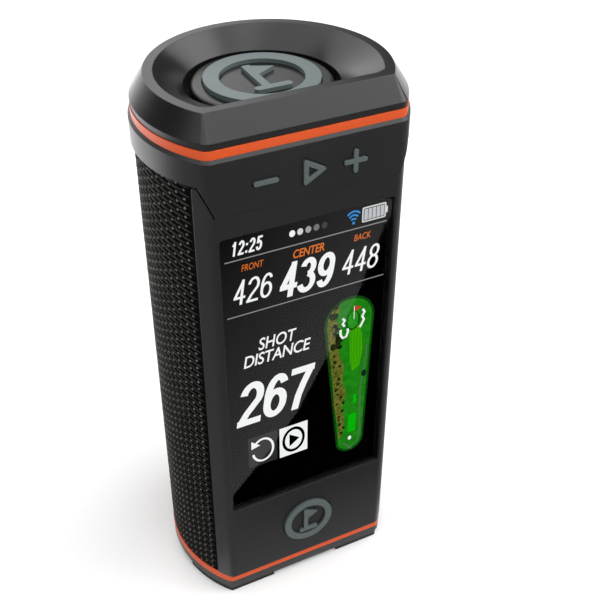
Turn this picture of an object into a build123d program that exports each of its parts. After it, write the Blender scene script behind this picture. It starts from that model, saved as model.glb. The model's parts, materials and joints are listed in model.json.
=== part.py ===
from build123d import *
import os

# Golf course monitor: a D-shaped, upright, battery-powered unit with a colour screen in front,
# fabric-covered speakers round the sides and back, and a lift-out round remote in the top.
# Millimetres. Z is up from the feet, X to the right seen from the front, -Y is the front.

# ---------------------------------------------------------------- overall sizes
body_radius = 41.6            # round side and back of the D outline
front_setback = 27.6          # from the flat front back to the round side's centre
corner_radius = 4.1           # between flat front and round side
key_proud = 0.6               # how far the keys stand out of the front
pad_proud = 0.3               # magnet pad beyond the round back
total_depth = key_proud + front_setback + body_radius + pad_proud
front_y = key_proud - total_depth / 2
axis_y = front_y + front_setback
pad_face_y = total_depth / 2

# ---------------------------------------------------------------- heights, bottom to top
foot_height = 1.5
foot_width = 7.0
foot_start = 13.2             # front feet begin this far from the middle
lip_height = 2.0              # base plate's narrow lip
band_height = 2.7             # base plate's dark band
ring_height = 2.9             # lower orange ring
panel_height = 153.5          # front panel, up to the key panel's seam
wing_height = 9.3             # key panel's drop below the collar
collar_height = 7.5
collar_bevel = 0.95
upper_ring_height = 2.65
neck_height = 1.9
cap_height = 6.8
lip_z = foot_height
band_z = lip_z + lip_height
ring_z = band_z + band_height
panel_z = ring_z + ring_height
seam_z = panel_z + panel_height
collar_z = seam_z + wing_height
bevel_z = collar_z + collar_height
upper_ring_z = bevel_z + collar_bevel
neck_z = upper_ring_z + upper_ring_height
cap_z = neck_z + neck_height
top_z = cap_z + cap_height

# ---------------------------------------------------------------- insets and walls
ring_inset = 0.78             # orange rings behind the collar face
neck_inset = 1.05
side_inset = 0.75             # side strips behind the collar face
face_inset = 0.25             # front panel behind the collar face
base_inset = 0.9
lip_inset = 1.7
lip_corner = 0.8
fabric_inset = 0.9
fabric_thickness = 0.8
frame_wall = 1.7              # perforated frame under the fabric
collar_wall = 2.6
seam_gap = 0.25
ring_wall = 2.3
skirt_gap = 0.1
skirt_wall = 2.2
frame_outer = fabric_inset + fabric_thickness
frame_inner = frame_outer + frame_wall
ring_inner = ring_inset + ring_wall
skirt_outer = ring_inner + skirt_gap
skirt_depth = 6.2

# ---------------------------------------------------------------- remote
remote_radius = 21.5
remote_face = 10.4            # its rest floor to its face
remote_edge = 1.2
remote_rim_land = 3.9         # case's flat edge outside the key
remote_ring_width = 4.75
remote_ring_proud = 1.3
remote_top_wall = 1.8
remote_side_wall = 1.6
remote_base_wall = 1.6
remote_base_chamfer = 0.5
remote_lip_height = 1.4
remote_flange = 1.3
remote_flange_thickness = 0.9
remote_key_floor = 1.0
remote_mark_margin = 3.85     # pin-flag mark's top and foot inside the key's ring
remote_key_travel = 0.6
cell_radius = 10.0
cell_thickness = 3.2
cell_gap = 0.3
cell_step = 0.6               # smaller negative side of the coin cell
cell_step_inset = 1.2
remote_board_thickness = 1.0
remote_board_gap = 0.2
remote_magnet_radius = 6.0
remote_magnet_thickness = 1.0
dock_magnet_radius = 6.0
dock_magnet_thickness = 2.5
remote_ring_outer = remote_radius - remote_rim_land
remote_ring_inner = remote_ring_outer - remote_ring_width
remote_mark_height = 2 * (remote_ring_inner - remote_mark_margin)

# ---------------------------------------------------------------- cap, bowl and well
rim_inset = 5.2               # rim inside the round side and back
rim_front = 5.9               # rim's front edge behind the body's front
rim_corner = 0.6
rim_land = 3.0
bowl_corner = 4.3
bowl_depth = 7.0
well_setback = 32.5           # remote's centre behind the front
well_gap = 2.0                # room for a fingernail round the remote
well_fit = 0.3                # remote's running fit in the lower well
mouth_flat = 0.4              # bowl's floor cut flat in front of the well
mouth_corner = 3.0
well_step_depth = 6.0
well_depth = 10.0
well_wall = 2.2
well_floor = 2.0
rim_radius = body_radius - rim_inset
well_radius = remote_radius + well_gap
well_lower_radius = remote_radius + well_fit
well_outer = well_radius + well_wall
well_y = front_y + well_setback
bowl_z = top_z - bowl_depth
well_z = bowl_z - well_depth
boss_radius = 3.0
boss_screw_depth = 8.0
boss_spots = ((30.0, 18.0), (18.0, 53.0))   # half spacing across, distance behind the front

# ---------------------------------------------------------------- keys
key_gap = 0.3
key_travel = 0.6
key_flange = 1.1
key_flange_thickness = 0.8
key_flange_gap = 0.1
icon_stroke = 1.4
icon_reach = 3.1              # from an icon's centre to its stroke ends
icon_pitch = 14.1
icon_rise = 8.1               # icons above the key panel's seam
icon_z = seam_z + icon_rise
play_radius = 5.0             # play triangle's centre to its points
play_hole = 0.42              # its hole as a share of the triangle
play_rounding = 0.6
home_rise = 17.1              # home key's centre above the front panel's foot
home_z = panel_z + home_rise
home_outer = 9.5
home_inner = 7.0
home_mark_height = 10.8
home_floor = 1.4
inlay_depth = 0.9
switch_size = 4.2
switch_height = 0.8
switch_cap = 0.3              # plunger standing out of the switch
switch_slack = 0.5            # behind a key's flange, beyond its travel
stem_radius = 1.3
board_thickness = 1.0
key_board_half = 27.0
key_board_reach = 5.5         # above and below the icons
key_board_gap = 0.4           # round the remote's well
key_post_radius = 2.2
key_post_x = 24.0
key_post_rise = 3.0
home_board_half = 19.0
home_board_reach = 8.0
home_post_x = 16.0

# ---------------------------------------------------------------- screen
window_width = 57.6
window_rise = 34.4            # window above the front panel's foot
window_drop = 7.6             # window below the key panel's seam
window_corner = 1.0
glass_recess = 1.0
glass_thickness = 1.0
glass_gap = 0.1
ledge = 1.1
gasket_thickness = 0.25
ledge_thickness = 1.0
panel_gap = 0.12
lcd_thickness = 1.2
tray_thickness = 2.4
tray_overlap = 0.5            # tray wider than the window on every side
tray_wall = 0.6
tray_ribs = 3
tray_rib_width = 2.0
window_z = panel_z + window_rise
window_height = seam_z - window_drop - window_z

# ---------------------------------------------------------------- inside
wing_half_low = 29.5          # key panel's half width at its foot
wing_half_high = 33.2         # and where it meets the collar
strip_bevel = 1.0
strip_depth = 5.2             # side strips reach this far behind the front
tongue_depth = 11.0
tongue_wall = 2.0
pocket_half = 29.9            # half width of the screen's pocket
box_half = 26.5               # speaker box
box_front = 14.0
box_back = 60.0
box_gap = 1.4                 # between the speaker box and the perforated frame
box_wall = 2.2
box_rise = 28.6               # speaker box above the front panel's foot
box_z = panel_z + box_rise
box_radius = body_radius - frame_inner - box_gap
base_post_radius = 4.0
base_post_hole = 3.0          # screw's bite into the speaker box
base_post_spots = ((20.0, 20.0), (20.0, 44.0))   # half spacing across, distance behind the front
spigot_gap = 0.3
spigot_wall = 2.0
spigot_rise = 3.0
deck_thickness = 2.5
deck_drop = 4.2               # deck below the collar's lower edge
deck_top = collar_z - deck_drop
deck_front = 8.6
deck_z = deck_top - deck_thickness
driver_radius = 19.0
driver_flange = 1.5
driver_rise = 26.0            # speakers' axis above the speaker box's foot
driver_z = box_z + driver_rise
driver_setback = 33.6
basket_radius = 16.6
basket_depth = 8.0
basket_wall = 1.0
basket_window = (8.0, 12.0)
motor_radius = 13.0
motor_depth = 8.0
gap_inner = 5.4
gap_outer = 7.2
coil_inner = 5.9
coil_wall = 0.5
cone_radius = 13.4
cone_depth = 5.0
cone_wall = 0.7
cone_gap = 0.35
roll_wall = 0.6
cone_travel = 1.2
radiator_width = 29.0
radiator_height = 60.0
radiator_rim = 5.0
radiator_thickness = 1.5
radiator_travel = 1.2
radiator_rise = 34.0          # its centre above the speaker box's foot
radiator_z = box_z + radiator_rise
radiator_corner = 8.0
radiator_land = 3.0           # frame's seat on the box
radiator_weight = (12.0, 40.0)
radiator_weight_depth = 1.8
battery_radius = 9.2
battery_length = 65.0
battery_pitch = 19.0          # one cell behind the other, between the two speakers
battery_gap = 0.9
battery_drop = 2.5            # cradle below the deck
cradle_wall = 2.0
cradle_half = 8.0
battery_setback = box_front + box_wall + battery_gap + battery_radius
battery_z = deck_z - battery_drop - cradle_wall - battery_length
main_board_setback = 10.2
main_board_thickness = 1.6
main_board_half = 26.0
main_board_rise = 8.0         # board above the speaker box's foot
main_board_drop = 9.5         # and below the deck
main_board_z = box_z + main_board_rise
main_board_top = deck_z - main_board_drop
shield_rise = (30.0, 46.0)    # radio shield's foot and top above the board's foot
shield_half = 11.0
shield_wall = 0.3
shield_thickness = 1.8
antenna_size = 18.0
antenna_thickness = 4.0
antenna_setback = 52.0
standoff_radius = 2.4
standoff_x = 21.0
standoff_inset = 6.0
screw_radius = 1.2
screw_head_radius = 2.3
screw_head = 1.2
screw_recess = 2.0
screw_socket_radius = 0.9
screw_socket_depth = 0.7

# ---------------------------------------------------------------- back
pad_width = 22.0
pad_height = 46.0
pad_drop = 36.2               # pad's middle below the collar's lower edge
pad_z = collar_z - pad_drop
pad_corner = 4.0
pad_depth = 7.0
pad_magnet_radius = 8.0
pad_magnet_thickness = 3.4
pad_magnet_pitch = 22.0
port_width = 24.0
port_height = 15.0
port_rise = 16.6              # port above the front panel's foot
port_z = panel_z + port_rise
port_depth = 6.4
port_inset = 0.7              # port surround's face inside the round back
port_face = front_setback + body_radius - port_inset
port_corner = 1.0
flap_width = 19.0
flap_height = 10.0
flap_thickness = 1.6
flap_gap = 0.3
flap_rib = 1.2
flap_rib_wall = 1.0
flap_rib_inset = 1.4
flap_pocket_gap = 0.5
flap_lip = 0.6
usb_width = 8.9
usb_height = 3.2
usb_length = 7.3
usb_wall = 0.35
usb_hole_gap = 0.1
usb_hollow = 6.2
usb_blade = (6.6, 0.7)        # contact blade's width and thickness
usb_blade_recess = 1.0
port_board_half = 12.0
port_board_start = 38.0
port_board_gap = 0.3
port_board_thickness = 1.2
port_rib_x = 10.0
port_rib_span = (40.0, 58.0)
port_rib_wall = 2.0

far = 400.0                   # larger than the whole unit, for cutting


# ================================================================ shared shapes
def outline(inset, front=None, corner=None):
    """The D outline, inset from the collar face."""
    front = inset if front is None else front
    corner = max(corner_radius - inset, rim_corner) if corner is None else corner
    return d_shape(body_radius - inset, axis_y, front_y + front, corner)


def d_shape(radius, centre_y, flat_y, corner):
    """A disc cut flat at flat_y, with its two front corners rounded."""
    disc = Pos(0, centre_y) * Rot(0, 0, -90) * Circle(radius)
    face = disc & (Pos(0, flat_y + far / 2) * Rectangle(far, far))
    front_points = [v for v in face.vertices() if abs(v.Y - flat_y) < 0.01]
    return fillet(front_points, corner)


def prism(face, low, high):
    return extrude(Pos(0, 0, low) * face, high - low)


def d_ring(low, high, outer, inner):
    return prism(outline(outer), low, high) - prism(outline(inner), low, high)


def slab(x, y, z):
    """A box from its (low, high) limits on each axis."""
    size = (x[1] - x[0], y[1] - y[0], z[1] - z[0])
    centre = ((x[0] + x[1]) / 2, (y[0] + y[1]) / 2, (z[0] + z[1]) / 2)
    return Pos(*centre) * Box(*size)


def behind(distance):
    """The Y position this far behind the front face."""
    return front_y + distance


def front_plate(face, near, away):
    """A plan in X and Z, made solid between two distances behind the front."""
    return Pos(0, behind(away), 0) * extrude(Rot(90, 0, 0) * face, away - near)


def rod(radius, z, low, high, x=0):
    """A round bar along Y between two distances behind the front."""
    return Pos(x, behind((low + high) / 2), z) * Rot(90, 0, 0) * Cylinder(radius, high - low)


def post(radius, x, y, low, high):
    return Pos(x, y, (low + high) / 2) * Cylinder(radius, high - low)


def mirrored(shape):
    return mirror(shape, Plane.YZ)


def grown(face, amount):
    return offset(face, amount, kind=Kind.ARC)


# ================================================================ marks
def minus_icon():
    return Pos(-icon_pitch, icon_z) * SlotOverall(2 * icon_reach + icon_stroke, icon_stroke)


def plus_icon():
    bar = SlotOverall(2 * icon_reach + icon_stroke, icon_stroke)
    return Pos(icon_pitch, icon_z) * (bar + Rot(0, 0, 90) * bar)


def play_icon(share=1.0):
    triangle = RegularPolygon(play_radius * share, 3, major_radius=True)
    return Pos(0, icon_z) * fillet(triangle.vertices(), play_rounding * share)


def flag_mark(height):
    """A pin flag on a green: a pole, a pennant and a low mound."""
    unit = height / 18.0
    pole = Pos(-1.6 * unit, 0) * Rectangle(2.6 * unit, 18 * unit)
    pennant = make_face(Polyline((-2.0 * unit, 9 * unit), (6.2 * unit, 5.2 * unit),
                                 (-2.0 * unit, 0.6 * unit), close=True))
    mound = Pos(0.2 * unit, -7.7 * unit) * SlotOverall(12.0 * unit, 2.6 * unit)
    return pole + pennant + mound


# ================================================================ base
def base_plate():
    plate = prism(outline(base_inset), band_z, ring_z)
    lip = prism(outline(lip_inset, corner=lip_corner), lip_z, band_z)
    shape = plate + lip
    spigot_outer = frame_inner + tongue_wall + spigot_gap
    shape += d_ring(ring_z, panel_z + spigot_rise, spigot_outer, spigot_outer + spigot_wall)
    for x, y in base_spots():
        shape += post(base_post_radius, x, y, ring_z, box_z)
    rib_y = tuple(behind(distance) for distance in port_rib_span)
    for x in (-port_rib_x, port_rib_x):
        rib_x = (x - port_rib_wall / 2, x + port_rib_wall / 2)
        shape += slab(rib_x, rib_y, (ring_z, port_board_z()))
    for x, y in base_spots():
        shape -= post(screw_radius, x, y, lip_z, box_z)
        shape -= post(screw_head_radius + key_gap, x, y, lip_z, lip_z + screw_recess)
    return shape


def both_sides(spots):
    """Each (half spacing, distance behind the front) on the left and on the right."""
    return [(side * x, behind(distance)) for side in (-1, 1) for x, distance in spots]


def base_spots():
    return both_sides(base_post_spots)


def base_screws():
    screws = []
    for x, y in base_spots():
        low = lip_z + screw_recess - screw_head
        head = post(screw_head_radius, x, y, low, low + screw_head)
        shank = post(screw_radius, x, y, low + screw_head, box_z + box_wall + base_post_hole)
        socket = post(screw_socket_radius, x, y, low, low + screw_socket_depth)
        screws.append(head + shank - socket)
    return Compound(screws)


def foot_ring():
    outer = outline(lip_inset, corner=lip_corner)
    inner = outline(lip_inset + foot_width, corner=lip_corner)
    return prism(outer, 0, foot_height) - prism(inner, 0, foot_height)


def feet():
    """Rubber feet under the two front corners and along the back."""
    ring = foot_ring()
    corner = ring & slab((foot_start, far), (-far, behind(20)), (-1, foot_height))
    rear = ring & slab((-24, 24), (axis_y + 10, far), (-1, foot_height))
    return Compound([mirrored(corner), corner, rear])


def lower_trim_ring():
    inner = frame_inner + tongue_wall
    return d_ring(ring_z, panel_z, base_inset - 0.05, inner)


# ================================================================ front panel and collar
def wing_plan(gap):
    """Front view of the collar with the key panel hanging below it."""
    half_low = wing_half_low + gap
    half_high = wing_half_high + gap
    low = seam_z - gap
    side = collar_z - gap
    points = ((-half_low, low), (half_low, low), (half_high, side), (far, side),
              (far, bevel_z), (-far, bevel_z), (-far, side), (-half_high, side))
    return make_face(Polyline(*points, close=True))


def front_panel():
    top = collar_z - seam_gap
    bevel = strip_bevel
    crown = loft([Pos(0, 0, top - bevel) * outline(side_inset, face_inset),
                  Pos(0, 0, top) * outline(side_inset + bevel, face_inset + bevel)], ruled=True)
    outer = prism(outline(side_inset, face_inset), panel_z, top - bevel) + crown
    shell = outer & slab((-far, far), (-far, behind(strip_depth)), (0, far))
    tongue = prism(outline(frame_inner, face_inset), panel_z, deck_z - seam_gap)
    shell += tongue & slab((-far, far), (behind(strip_depth) - 1, behind(tongue_depth)), (0, far))
    wall_back = home_wall()
    shell -= slab((-pocket_half, pocket_half), (behind(wall_back), far), (0, far))
    shell -= prism(outline(frame_inner + tongue_wall, wall_back), panel_z, top)
    hanging = extrude(Rot(90, 0, 0) * wing_plan(seam_gap), far, both=True)
    shell -= hanging & slab((-far, far), (-far, behind(strip_depth + 2.0)), (0, far))
    shell -= front_plate(window_plan(0), -1, face_inset + glass_recess + glass_thickness
                         + gasket_thickness)
    shell -= front_plate(window_plan(-ledge), -1, far)
    home_hole = rod(home_outer + key_gap, home_z, -1, wall_back)
    shell -= home_hole
    for x in (-home_post_x, home_post_x):
        shell += rod(key_post_radius, home_z, wall_back - 0.1, home_board_front(), x)
    return shell


def window_plan(extra, corner=None):
    """The window seen from the front, grown by extra on every side."""
    corner = window_corner if corner is None else corner
    middle = window_z + window_height / 2
    return Pos(0, middle) * RectangleRounded(window_width + 2 * extra,
                                             window_height + 2 * extra, corner)


def upper_collar():
    """Collar round the top of the body, with the key panel as its front."""
    ring = d_ring(seam_z, bevel_z, 0, collar_wall)
    hanging = extrude(Rot(90, 0, 0) * wing_plan(0), far, both=True)
    front_part = ring & hanging & slab((-far, far), (-far, behind(strip_depth)), (0, far))
    back_part = ring & slab((-far, far), (-far, far), (collar_z, far))
    bevel = loft([Pos(0, 0, bevel_z) * outline(0),
                  Pos(0, 0, upper_ring_z) * outline(ring_inset)], ruled=True)
    bevel -= prism(outline(collar_wall), bevel_z, upper_ring_z)
    shape = front_part + back_part + bevel
    for icon in (minus_icon(), plus_icon(), play_icon()):
        shape -= front_plate(grown(icon, key_gap), -1, collar_wall)
    for x in (-key_post_x, key_post_x):
        shape += rod(key_post_radius, icon_z + key_post_rise, collar_wall - 0.1,
                     key_board_front(), x)
    return shape


def upper_trim_ring():
    return d_ring(upper_ring_z, neck_z, ring_inset, ring_inner)


def neck_ring():
    return d_ring(neck_z, cap_z, neck_inset, ring_inner)


# ================================================================ cap
def cap():
    rim = d_shape(rim_radius, axis_y, behind(rim_front), rim_corner)
    body = loft([Pos(0, 0, cap_z) * outline(ring_inset), Pos(0, 0, top_z) * rim], ruled=True)
    skirt = prism(outline(skirt_outer), cap_z - skirt_depth, cap_z)
    skirt -= prism(outline(skirt_outer + skirt_wall), cap_z - skirt_depth, cap_z)
    hollow = prism(outline(skirt_outer + skirt_wall), cap_z - 0.01, cap_z)
    body += skirt
    opening = d_shape(rim_radius - rim_land, axis_y, behind(rim_front + rim_land), bowl_corner)
    mouth = d_shape(well_radius, well_y, well_y - well_radius + mouth_flat, mouth_corner)
    bowl = loft([Pos(0, 0, bowl_z) * mouth, Pos(0, 0, top_z) * opening], ruled=True)
    body += post(well_outer, 0, well_y, well_z - well_floor, cap_z)
    body -= hollow - post(well_outer, 0, well_y, 0, far)
    body -= bowl
    body -= post(well_radius, 0, well_y, bowl_z - well_step_depth, bowl_z)
    body -= post(well_lower_radius, 0, well_y, well_z, bowl_z)
    for x, y in cap_boss_spots():
        body += post(boss_radius, x, y, deck_top, cap_z + 0.5)
        body -= post(screw_radius, x, y, deck_top, deck_top + boss_screw_depth)
    return body


def cap_boss_spots():
    return both_sides(boss_spots)


def cap_screws():
    screws = []
    for x, y in cap_boss_spots():
        head = post(screw_head_radius, x, y, deck_z - screw_head, deck_z)
        shank = post(screw_radius, x, y, deck_z, deck_top + boss_screw_depth - 1.0)
        socket = post(screw_socket_radius, x, y, deck_z - screw_head,
                      deck_z - screw_head + screw_socket_depth)
        screws.append(head + shank - socket)
    return Compound(screws)


def dock_magnet():
    low = well_z - well_floor - dock_magnet_thickness
    return post(dock_magnet_radius, 0, well_y, low, low + dock_magnet_thickness)


# ================================================================ keys
def icon_key(icon):
    """A key whose top is the icon itself, held behind the panel by its flange."""
    flange_front = collar_wall + key_flange_gap
    flange_back = flange_front + key_flange_thickness
    shape = front_plate(icon, -key_proud, flange_front)
    shape += front_plate(grown(icon, key_flange), flange_front, flange_back)
    return shape


def stem(x, z, low):
    high = key_board_front() - switch_height - key_travel - key_flange_gap
    return rod(stem_radius, z, low, high, x)


def key_board_front():
    flange_back = collar_wall + key_flange_gap + key_flange_thickness
    return flange_back + switch_slack + key_travel + switch_height


def collar_key(icon, x):
    low = collar_wall + key_flange_gap
    return icon_key(icon) + stem(x, icon_z, low)


def play_key():
    shape = collar_key(play_icon(), 0)
    return shape - front_plate(play_icon(play_hole), -key_proud, inlay_depth)


def play_key_inlay():
    return front_plate(play_icon(play_hole), 0, inlay_depth)


def key_board():
    """Board behind the three keys, notched clear of the remote's well."""
    front = key_board_front()
    board = slab((-key_board_half, key_board_half), (behind(front), behind(front + board_thickness)),
                 (icon_z - key_board_reach, icon_z + key_board_reach))
    return board - post(well_outer + key_board_gap, 0, well_y,
                        well_z - well_floor - key_board_gap, top_z)


def home_wall():
    """Distances behind the front of the panel's back face at the home key."""
    return face_inset + glass_recess + glass_thickness + gasket_thickness + ledge_thickness


def home_board_front():
    flange_back = home_wall() + key_flange_gap + key_flange_thickness
    return flange_back + switch_slack + key_travel + key_flange_gap + switch_height


def home_key():
    floor = face_inset + inlay_depth
    flange_front = home_wall() + key_flange_gap
    shape = rod(home_outer, home_z, floor, flange_front)
    shape += rod(home_outer, home_z, -key_proud, floor) - rod(home_inner, home_z, -key_proud, floor)
    shape += front_plate(Pos(0, home_z) * flag_mark(home_mark_height), -key_proud, floor)
    shape += rod(home_outer + key_flange, home_z, flange_front, flange_front + key_flange_thickness)
    stem_end = home_board_front() - switch_height - key_travel - key_flange_gap
    shape += rod(stem_radius, home_z, flange_front, stem_end)
    return shape


def home_key_inlay():
    floor = face_inset + inlay_depth
    disc = rod(home_inner, home_z, face_inset, floor)
    return disc - front_plate(Pos(0, home_z) * flag_mark(home_mark_height), face_inset, floor)


def home_board():
    front = home_board_front()
    return slab((-home_board_half, home_board_half),
                (behind(front), behind(front + board_thickness)),
                (home_z - home_board_reach, home_z + home_board_reach))


def switch(x, z, back):
    half = switch_size / 2
    body = slab((x - half, x + half), (behind(back - switch_height + switch_cap), behind(back)),
                (z - half, z + half))
    return body + rod(stem_radius, z, back - switch_height, back, x)


def key_switches():
    spots = [(x, icon_z, key_board_front()) for x in (-icon_pitch, 0, icon_pitch)]
    spots.append((0, home_z, home_board_front()))
    return Compound([switch(*spot) for spot in spots])


# ================================================================ screen
def cover_glass():
    near = face_inset + glass_recess
    return front_plate(window_plan(-glass_gap), near, near + glass_thickness)


def glass_gasket():
    near = face_inset + glass_recess + glass_thickness
    frame = window_plan(-glass_gap) - window_plan(-ledge)
    return front_plate(frame, near, near + gasket_thickness)


def display_panel():
    near = face_inset + glass_recess + glass_thickness + panel_gap
    return front_plate(window_plan(-ledge - glass_gap), near, near + lcd_thickness)


def display_tray():
    """Shallow metal tray behind the display, with ribs across its back."""
    near = face_inset + glass_recess + glass_thickness + panel_gap + lcd_thickness
    floor = near + tray_wall
    back = near + tray_thickness
    tray = front_plate(window_plan(tray_overlap), near, back)
    tray -= front_plate(window_plan(tray_overlap - tray_wall), floor, back)
    half = window_width / 2
    for number in range(tray_ribs):
        z = window_z + window_height * (number + 1) / (tray_ribs + 1)
        tray += slab((-half, half), (behind(floor), behind(back)),
                     (z - tray_rib_width / 2, z + tray_rib_width / 2))
    return tray


# ================================================================ grille
def grille_span(low, high):
    """The part of the body behind the side strips."""
    return slab((-far, far), (behind(strip_depth) + seam_gap, far), (low, high))


def back_window(width, height, z, gap, corner=1.0):
    plan = RectangleRounded(width + 2 * gap, height + 2 * gap, corner + gap)
    return Pos(0, axis_y, z) * extrude(Rot(-90, 0, 0) * plan, far / 2)


def grille_frame():
    top = collar_z - seam_gap
    shape = d_ring(panel_z, top, frame_outer, frame_inner) & grille_span(panel_z, top)
    rows = 5
    columns = 12
    row_pitch = (top - panel_z - 8.0) / rows
    slot = SlotOverall(row_pitch - 5.0, 7.0)
    for row in range(rows):
        z = panel_z + 4.0 + row_pitch * (row + 0.5)
        for column in range(columns):
            angle = -26.0 + column * 232.0 / (columns - 1)
            near_back = abs(angle - 90.0) < 24.0
            if near_back and (abs(z - pad_z) < 42.0 or z < 48.0):
                continue
            cutter = extrude(Rot(0, 90, 0) * slot, far)
            shape -= Pos(0, axis_y, z) * Rot(0, 0, angle) * cutter
    shape -= back_window(pad_width, pad_height, pad_z, 0, pad_corner)
    shape -= back_window(port_width, port_height, port_z, 0)
    return shape


def grille_fabric():
    top = collar_z - seam_gap
    shape = d_ring(panel_z, top, fabric_inset, frame_outer) & grille_span(panel_z, top)
    shape -= back_window(pad_width, pad_height, pad_z, 0.1, pad_corner)
    shape -= back_window(port_width, port_height, port_z, 0.1)
    return shape


# ================================================================ back
def rear_pad():
    plan = RectangleRounded(pad_width, pad_height, pad_corner)
    block = extrude(Rot(-90, 0, 0) * plan, pad_depth)
    shape = Pos(0, pad_face_y - pad_depth, pad_z) * block
    for z in pad_magnet_heights():
        shape -= pad_magnet(z)
    return shape


def pad_magnet_heights():
    return (pad_z - pad_magnet_pitch / 2, pad_z + pad_magnet_pitch / 2)


def pad_magnet(z):
    inner = pad_face_y - pad_depth
    middle = inner + pad_magnet_thickness / 2
    return Pos(0, middle, z) * Rot(90, 0, 0) * Cylinder(pad_magnet_radius, pad_magnet_thickness)


def pad_magnets():
    return Compound([pad_magnet(z) for z in pad_magnet_heights()])


def flap_low():
    return port_z - flap_height / 2


def port_surround():
    """Frame round the charging port, with the flap's seat and the port's hole."""
    face = behind(port_face)
    plan = RectangleRounded(port_width, port_height, port_corner)
    shape = Pos(0, face - port_depth, port_z) * extrude(Rot(-90, 0, 0) * plan, port_depth)
    low = flap_low()
    high = low + flap_height
    seat_half = flap_width / 2 + flap_gap
    shape -= slab((-seat_half, seat_half), (face - flap_thickness, face + 1),
                  (low - flap_gap, high + flap_gap))
    recess_half = flap_width / 2 - flap_rib_inset + flap_pocket_gap
    recess_floor = face - flap_thickness - flap_rib - flap_pocket_gap
    shape -= slab((-recess_half, recess_half), (recess_floor, face),
                  (low + flap_rib_inset - flap_gap, high - flap_lip))
    shape -= usb_bar(usb_width + 2 * usb_hole_gap, usb_height + 2 * usb_hole_gap,
                     face - port_depth - 1, face)
    return shape


def usb_bar(width, height, low, high):
    """An oval bar along Y at the port's height."""
    plan = SlotOverall(width, height)
    return Pos(0, low, port_z) * extrude(Rot(-90, 0, 0) * plan, high - low)


def port_flap():
    """Rubber flap, turning on the round bead along its lower edge."""
    face = behind(port_face)
    inner = face - flap_thickness
    half = flap_width / 2
    bead = flap_thickness / 2
    low = flap_low()
    shape = slab((-half, half), (inner, face), (low + bead, low + flap_height))
    shape += Pos(0, inner + bead, low + bead) * Rot(0, 90, 0) * Cylinder(bead, flap_width)
    rib_half = half - flap_rib_inset
    rib_y = (inner - flap_rib, inner)
    rib_low = low + flap_rib_inset
    rib_high = low + flap_height - flap_rib_inset
    rib = slab((-rib_half, rib_half), rib_y, (rib_low, rib_high))
    wall = flap_rib_wall
    rib -= slab((-rib_half + wall, rib_half - wall), rib_y, (rib_low + wall, rib_high - wall))
    return shape + rib


def port_board_z():
    return port_z - usb_height / 2 - port_board_thickness


def port_board():
    low = port_board_z()
    end = behind(port_face) - port_depth - port_board_gap
    return slab((-port_board_half, port_board_half), (behind(port_board_start), end),
                (low, low + port_board_thickness))


def usb_front():
    return behind(port_face) - flap_thickness - flap_rib - flap_pocket_gap - 0.1


def usb_socket():
    front = usb_front()
    shell = usb_bar(usb_width, usb_height, front - usb_length, front)
    hollow = usb_bar(usb_width - 2 * usb_wall, usb_height - 2 * usb_wall, front - usb_hollow, front)
    half_width = usb_blade[0] / 2
    half_height = usb_blade[1] / 2
    blade = slab((-half_width, half_width), (front - usb_hollow - 0.2, front - usb_blade_recess),
                 (port_z - half_height, port_z + half_height))
    return shell - hollow + blade


# ================================================================ speaker box
def box_plan(wall):
    side = box_half - wall
    plan = Pos(0, (behind(box_front + wall) + behind(box_back - wall)) / 2) * Rectangle(
        2 * side, box_back - box_front - 2 * wall)
    return plan & (Pos(0, axis_y) * Circle(box_radius - wall))


def driver_y():
    return behind(driver_setback)


def speaker_box():
    shape = prism(box_plan(0), box_z, deck_z) - prism(box_plan(box_wall), box_z + box_wall, deck_z)
    hole = Pos(0, driver_y(), driver_z) * Rot(0, 90, 0) * Cylinder(basket_radius + 0.2, far)
    shape -= hole
    shape -= radiator_piece(radiator_plan(radiator_land), -2 * box_wall, box_wall)
    inside = prism(box_plan(0), box_z, deck_z)
    for x, y in base_spots():
        foot = post(base_post_radius, x, y, box_z, box_z + box_wall + base_post_hole + 1.0)
        shape += foot & inside
        shape -= post(screw_radius, x, y, box_z, box_z + box_wall + base_post_hole)
    for x, z in standoff_spots():
        shape += rod(standoff_radius, z, main_board_setback + main_board_thickness, box_front + 0.1, x)
    return shape


def top_deck():
    plate = prism(outline(frame_inner), deck_z, deck_top)
    plate &= slab((-far, far), (behind(deck_front), far), (0, far))
    for x, y in cap_boss_spots():
        plate -= post(screw_radius, x, y, deck_z, deck_top)
    return plate


def standoff_spots():
    heights = (main_board_z + standoff_inset, main_board_top - standoff_inset)
    return [(x, z) for x in (-standoff_x, standoff_x) for z in heights]


def main_board():
    front = main_board_setback
    back = main_board_setback + main_board_thickness
    board = slab((-main_board_half, main_board_half), (behind(front), behind(back)),
                 (main_board_z, main_board_top))
    for x, z in standoff_spots():
        board -= rod(screw_radius, z, front - 1, back + 1, x)
    return board


def chip(x, z, width, height, thickness):
    """One part soldered to the board's front, drawn round its middle."""
    front = main_board_setback
    return slab((x - width / 2, x + width / 2), (behind(front - thickness), behind(front)),
                (z - height / 2, z + height / 2))


def board_chips():
    low = main_board_z
    high = main_board_top
    processor = chip(-8.0, high - 26.0, 13.0, 13.0, 1.2)
    memory = chip(9.0, high - 24.0, 11.0, 9.0, 1.0)
    amplifier = chip(-12.0, low + 20.0, 9.0, 9.0, 1.0)
    power = chip(6.0, low + 20.0, 12.0, 7.0, 1.6)
    charger = chip(18.0, low + 38.0, 6.0, 6.0, 1.4)
    return Compound([processor, memory, amplifier, power, charger])


def radio_shield():
    """Folded metal can, open towards the board."""
    front = main_board_setback
    low = main_board_z + shield_rise[0]
    high = main_board_z + shield_rise[1]
    inner = shield_half - shield_wall
    can = slab((-shield_half, shield_half), (behind(front - shield_thickness), behind(front)),
               (low, high))
    return can - slab((-inner, inner), (behind(front - shield_thickness + shield_wall), behind(front)),
                      (low + shield_wall, high - shield_wall))


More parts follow.
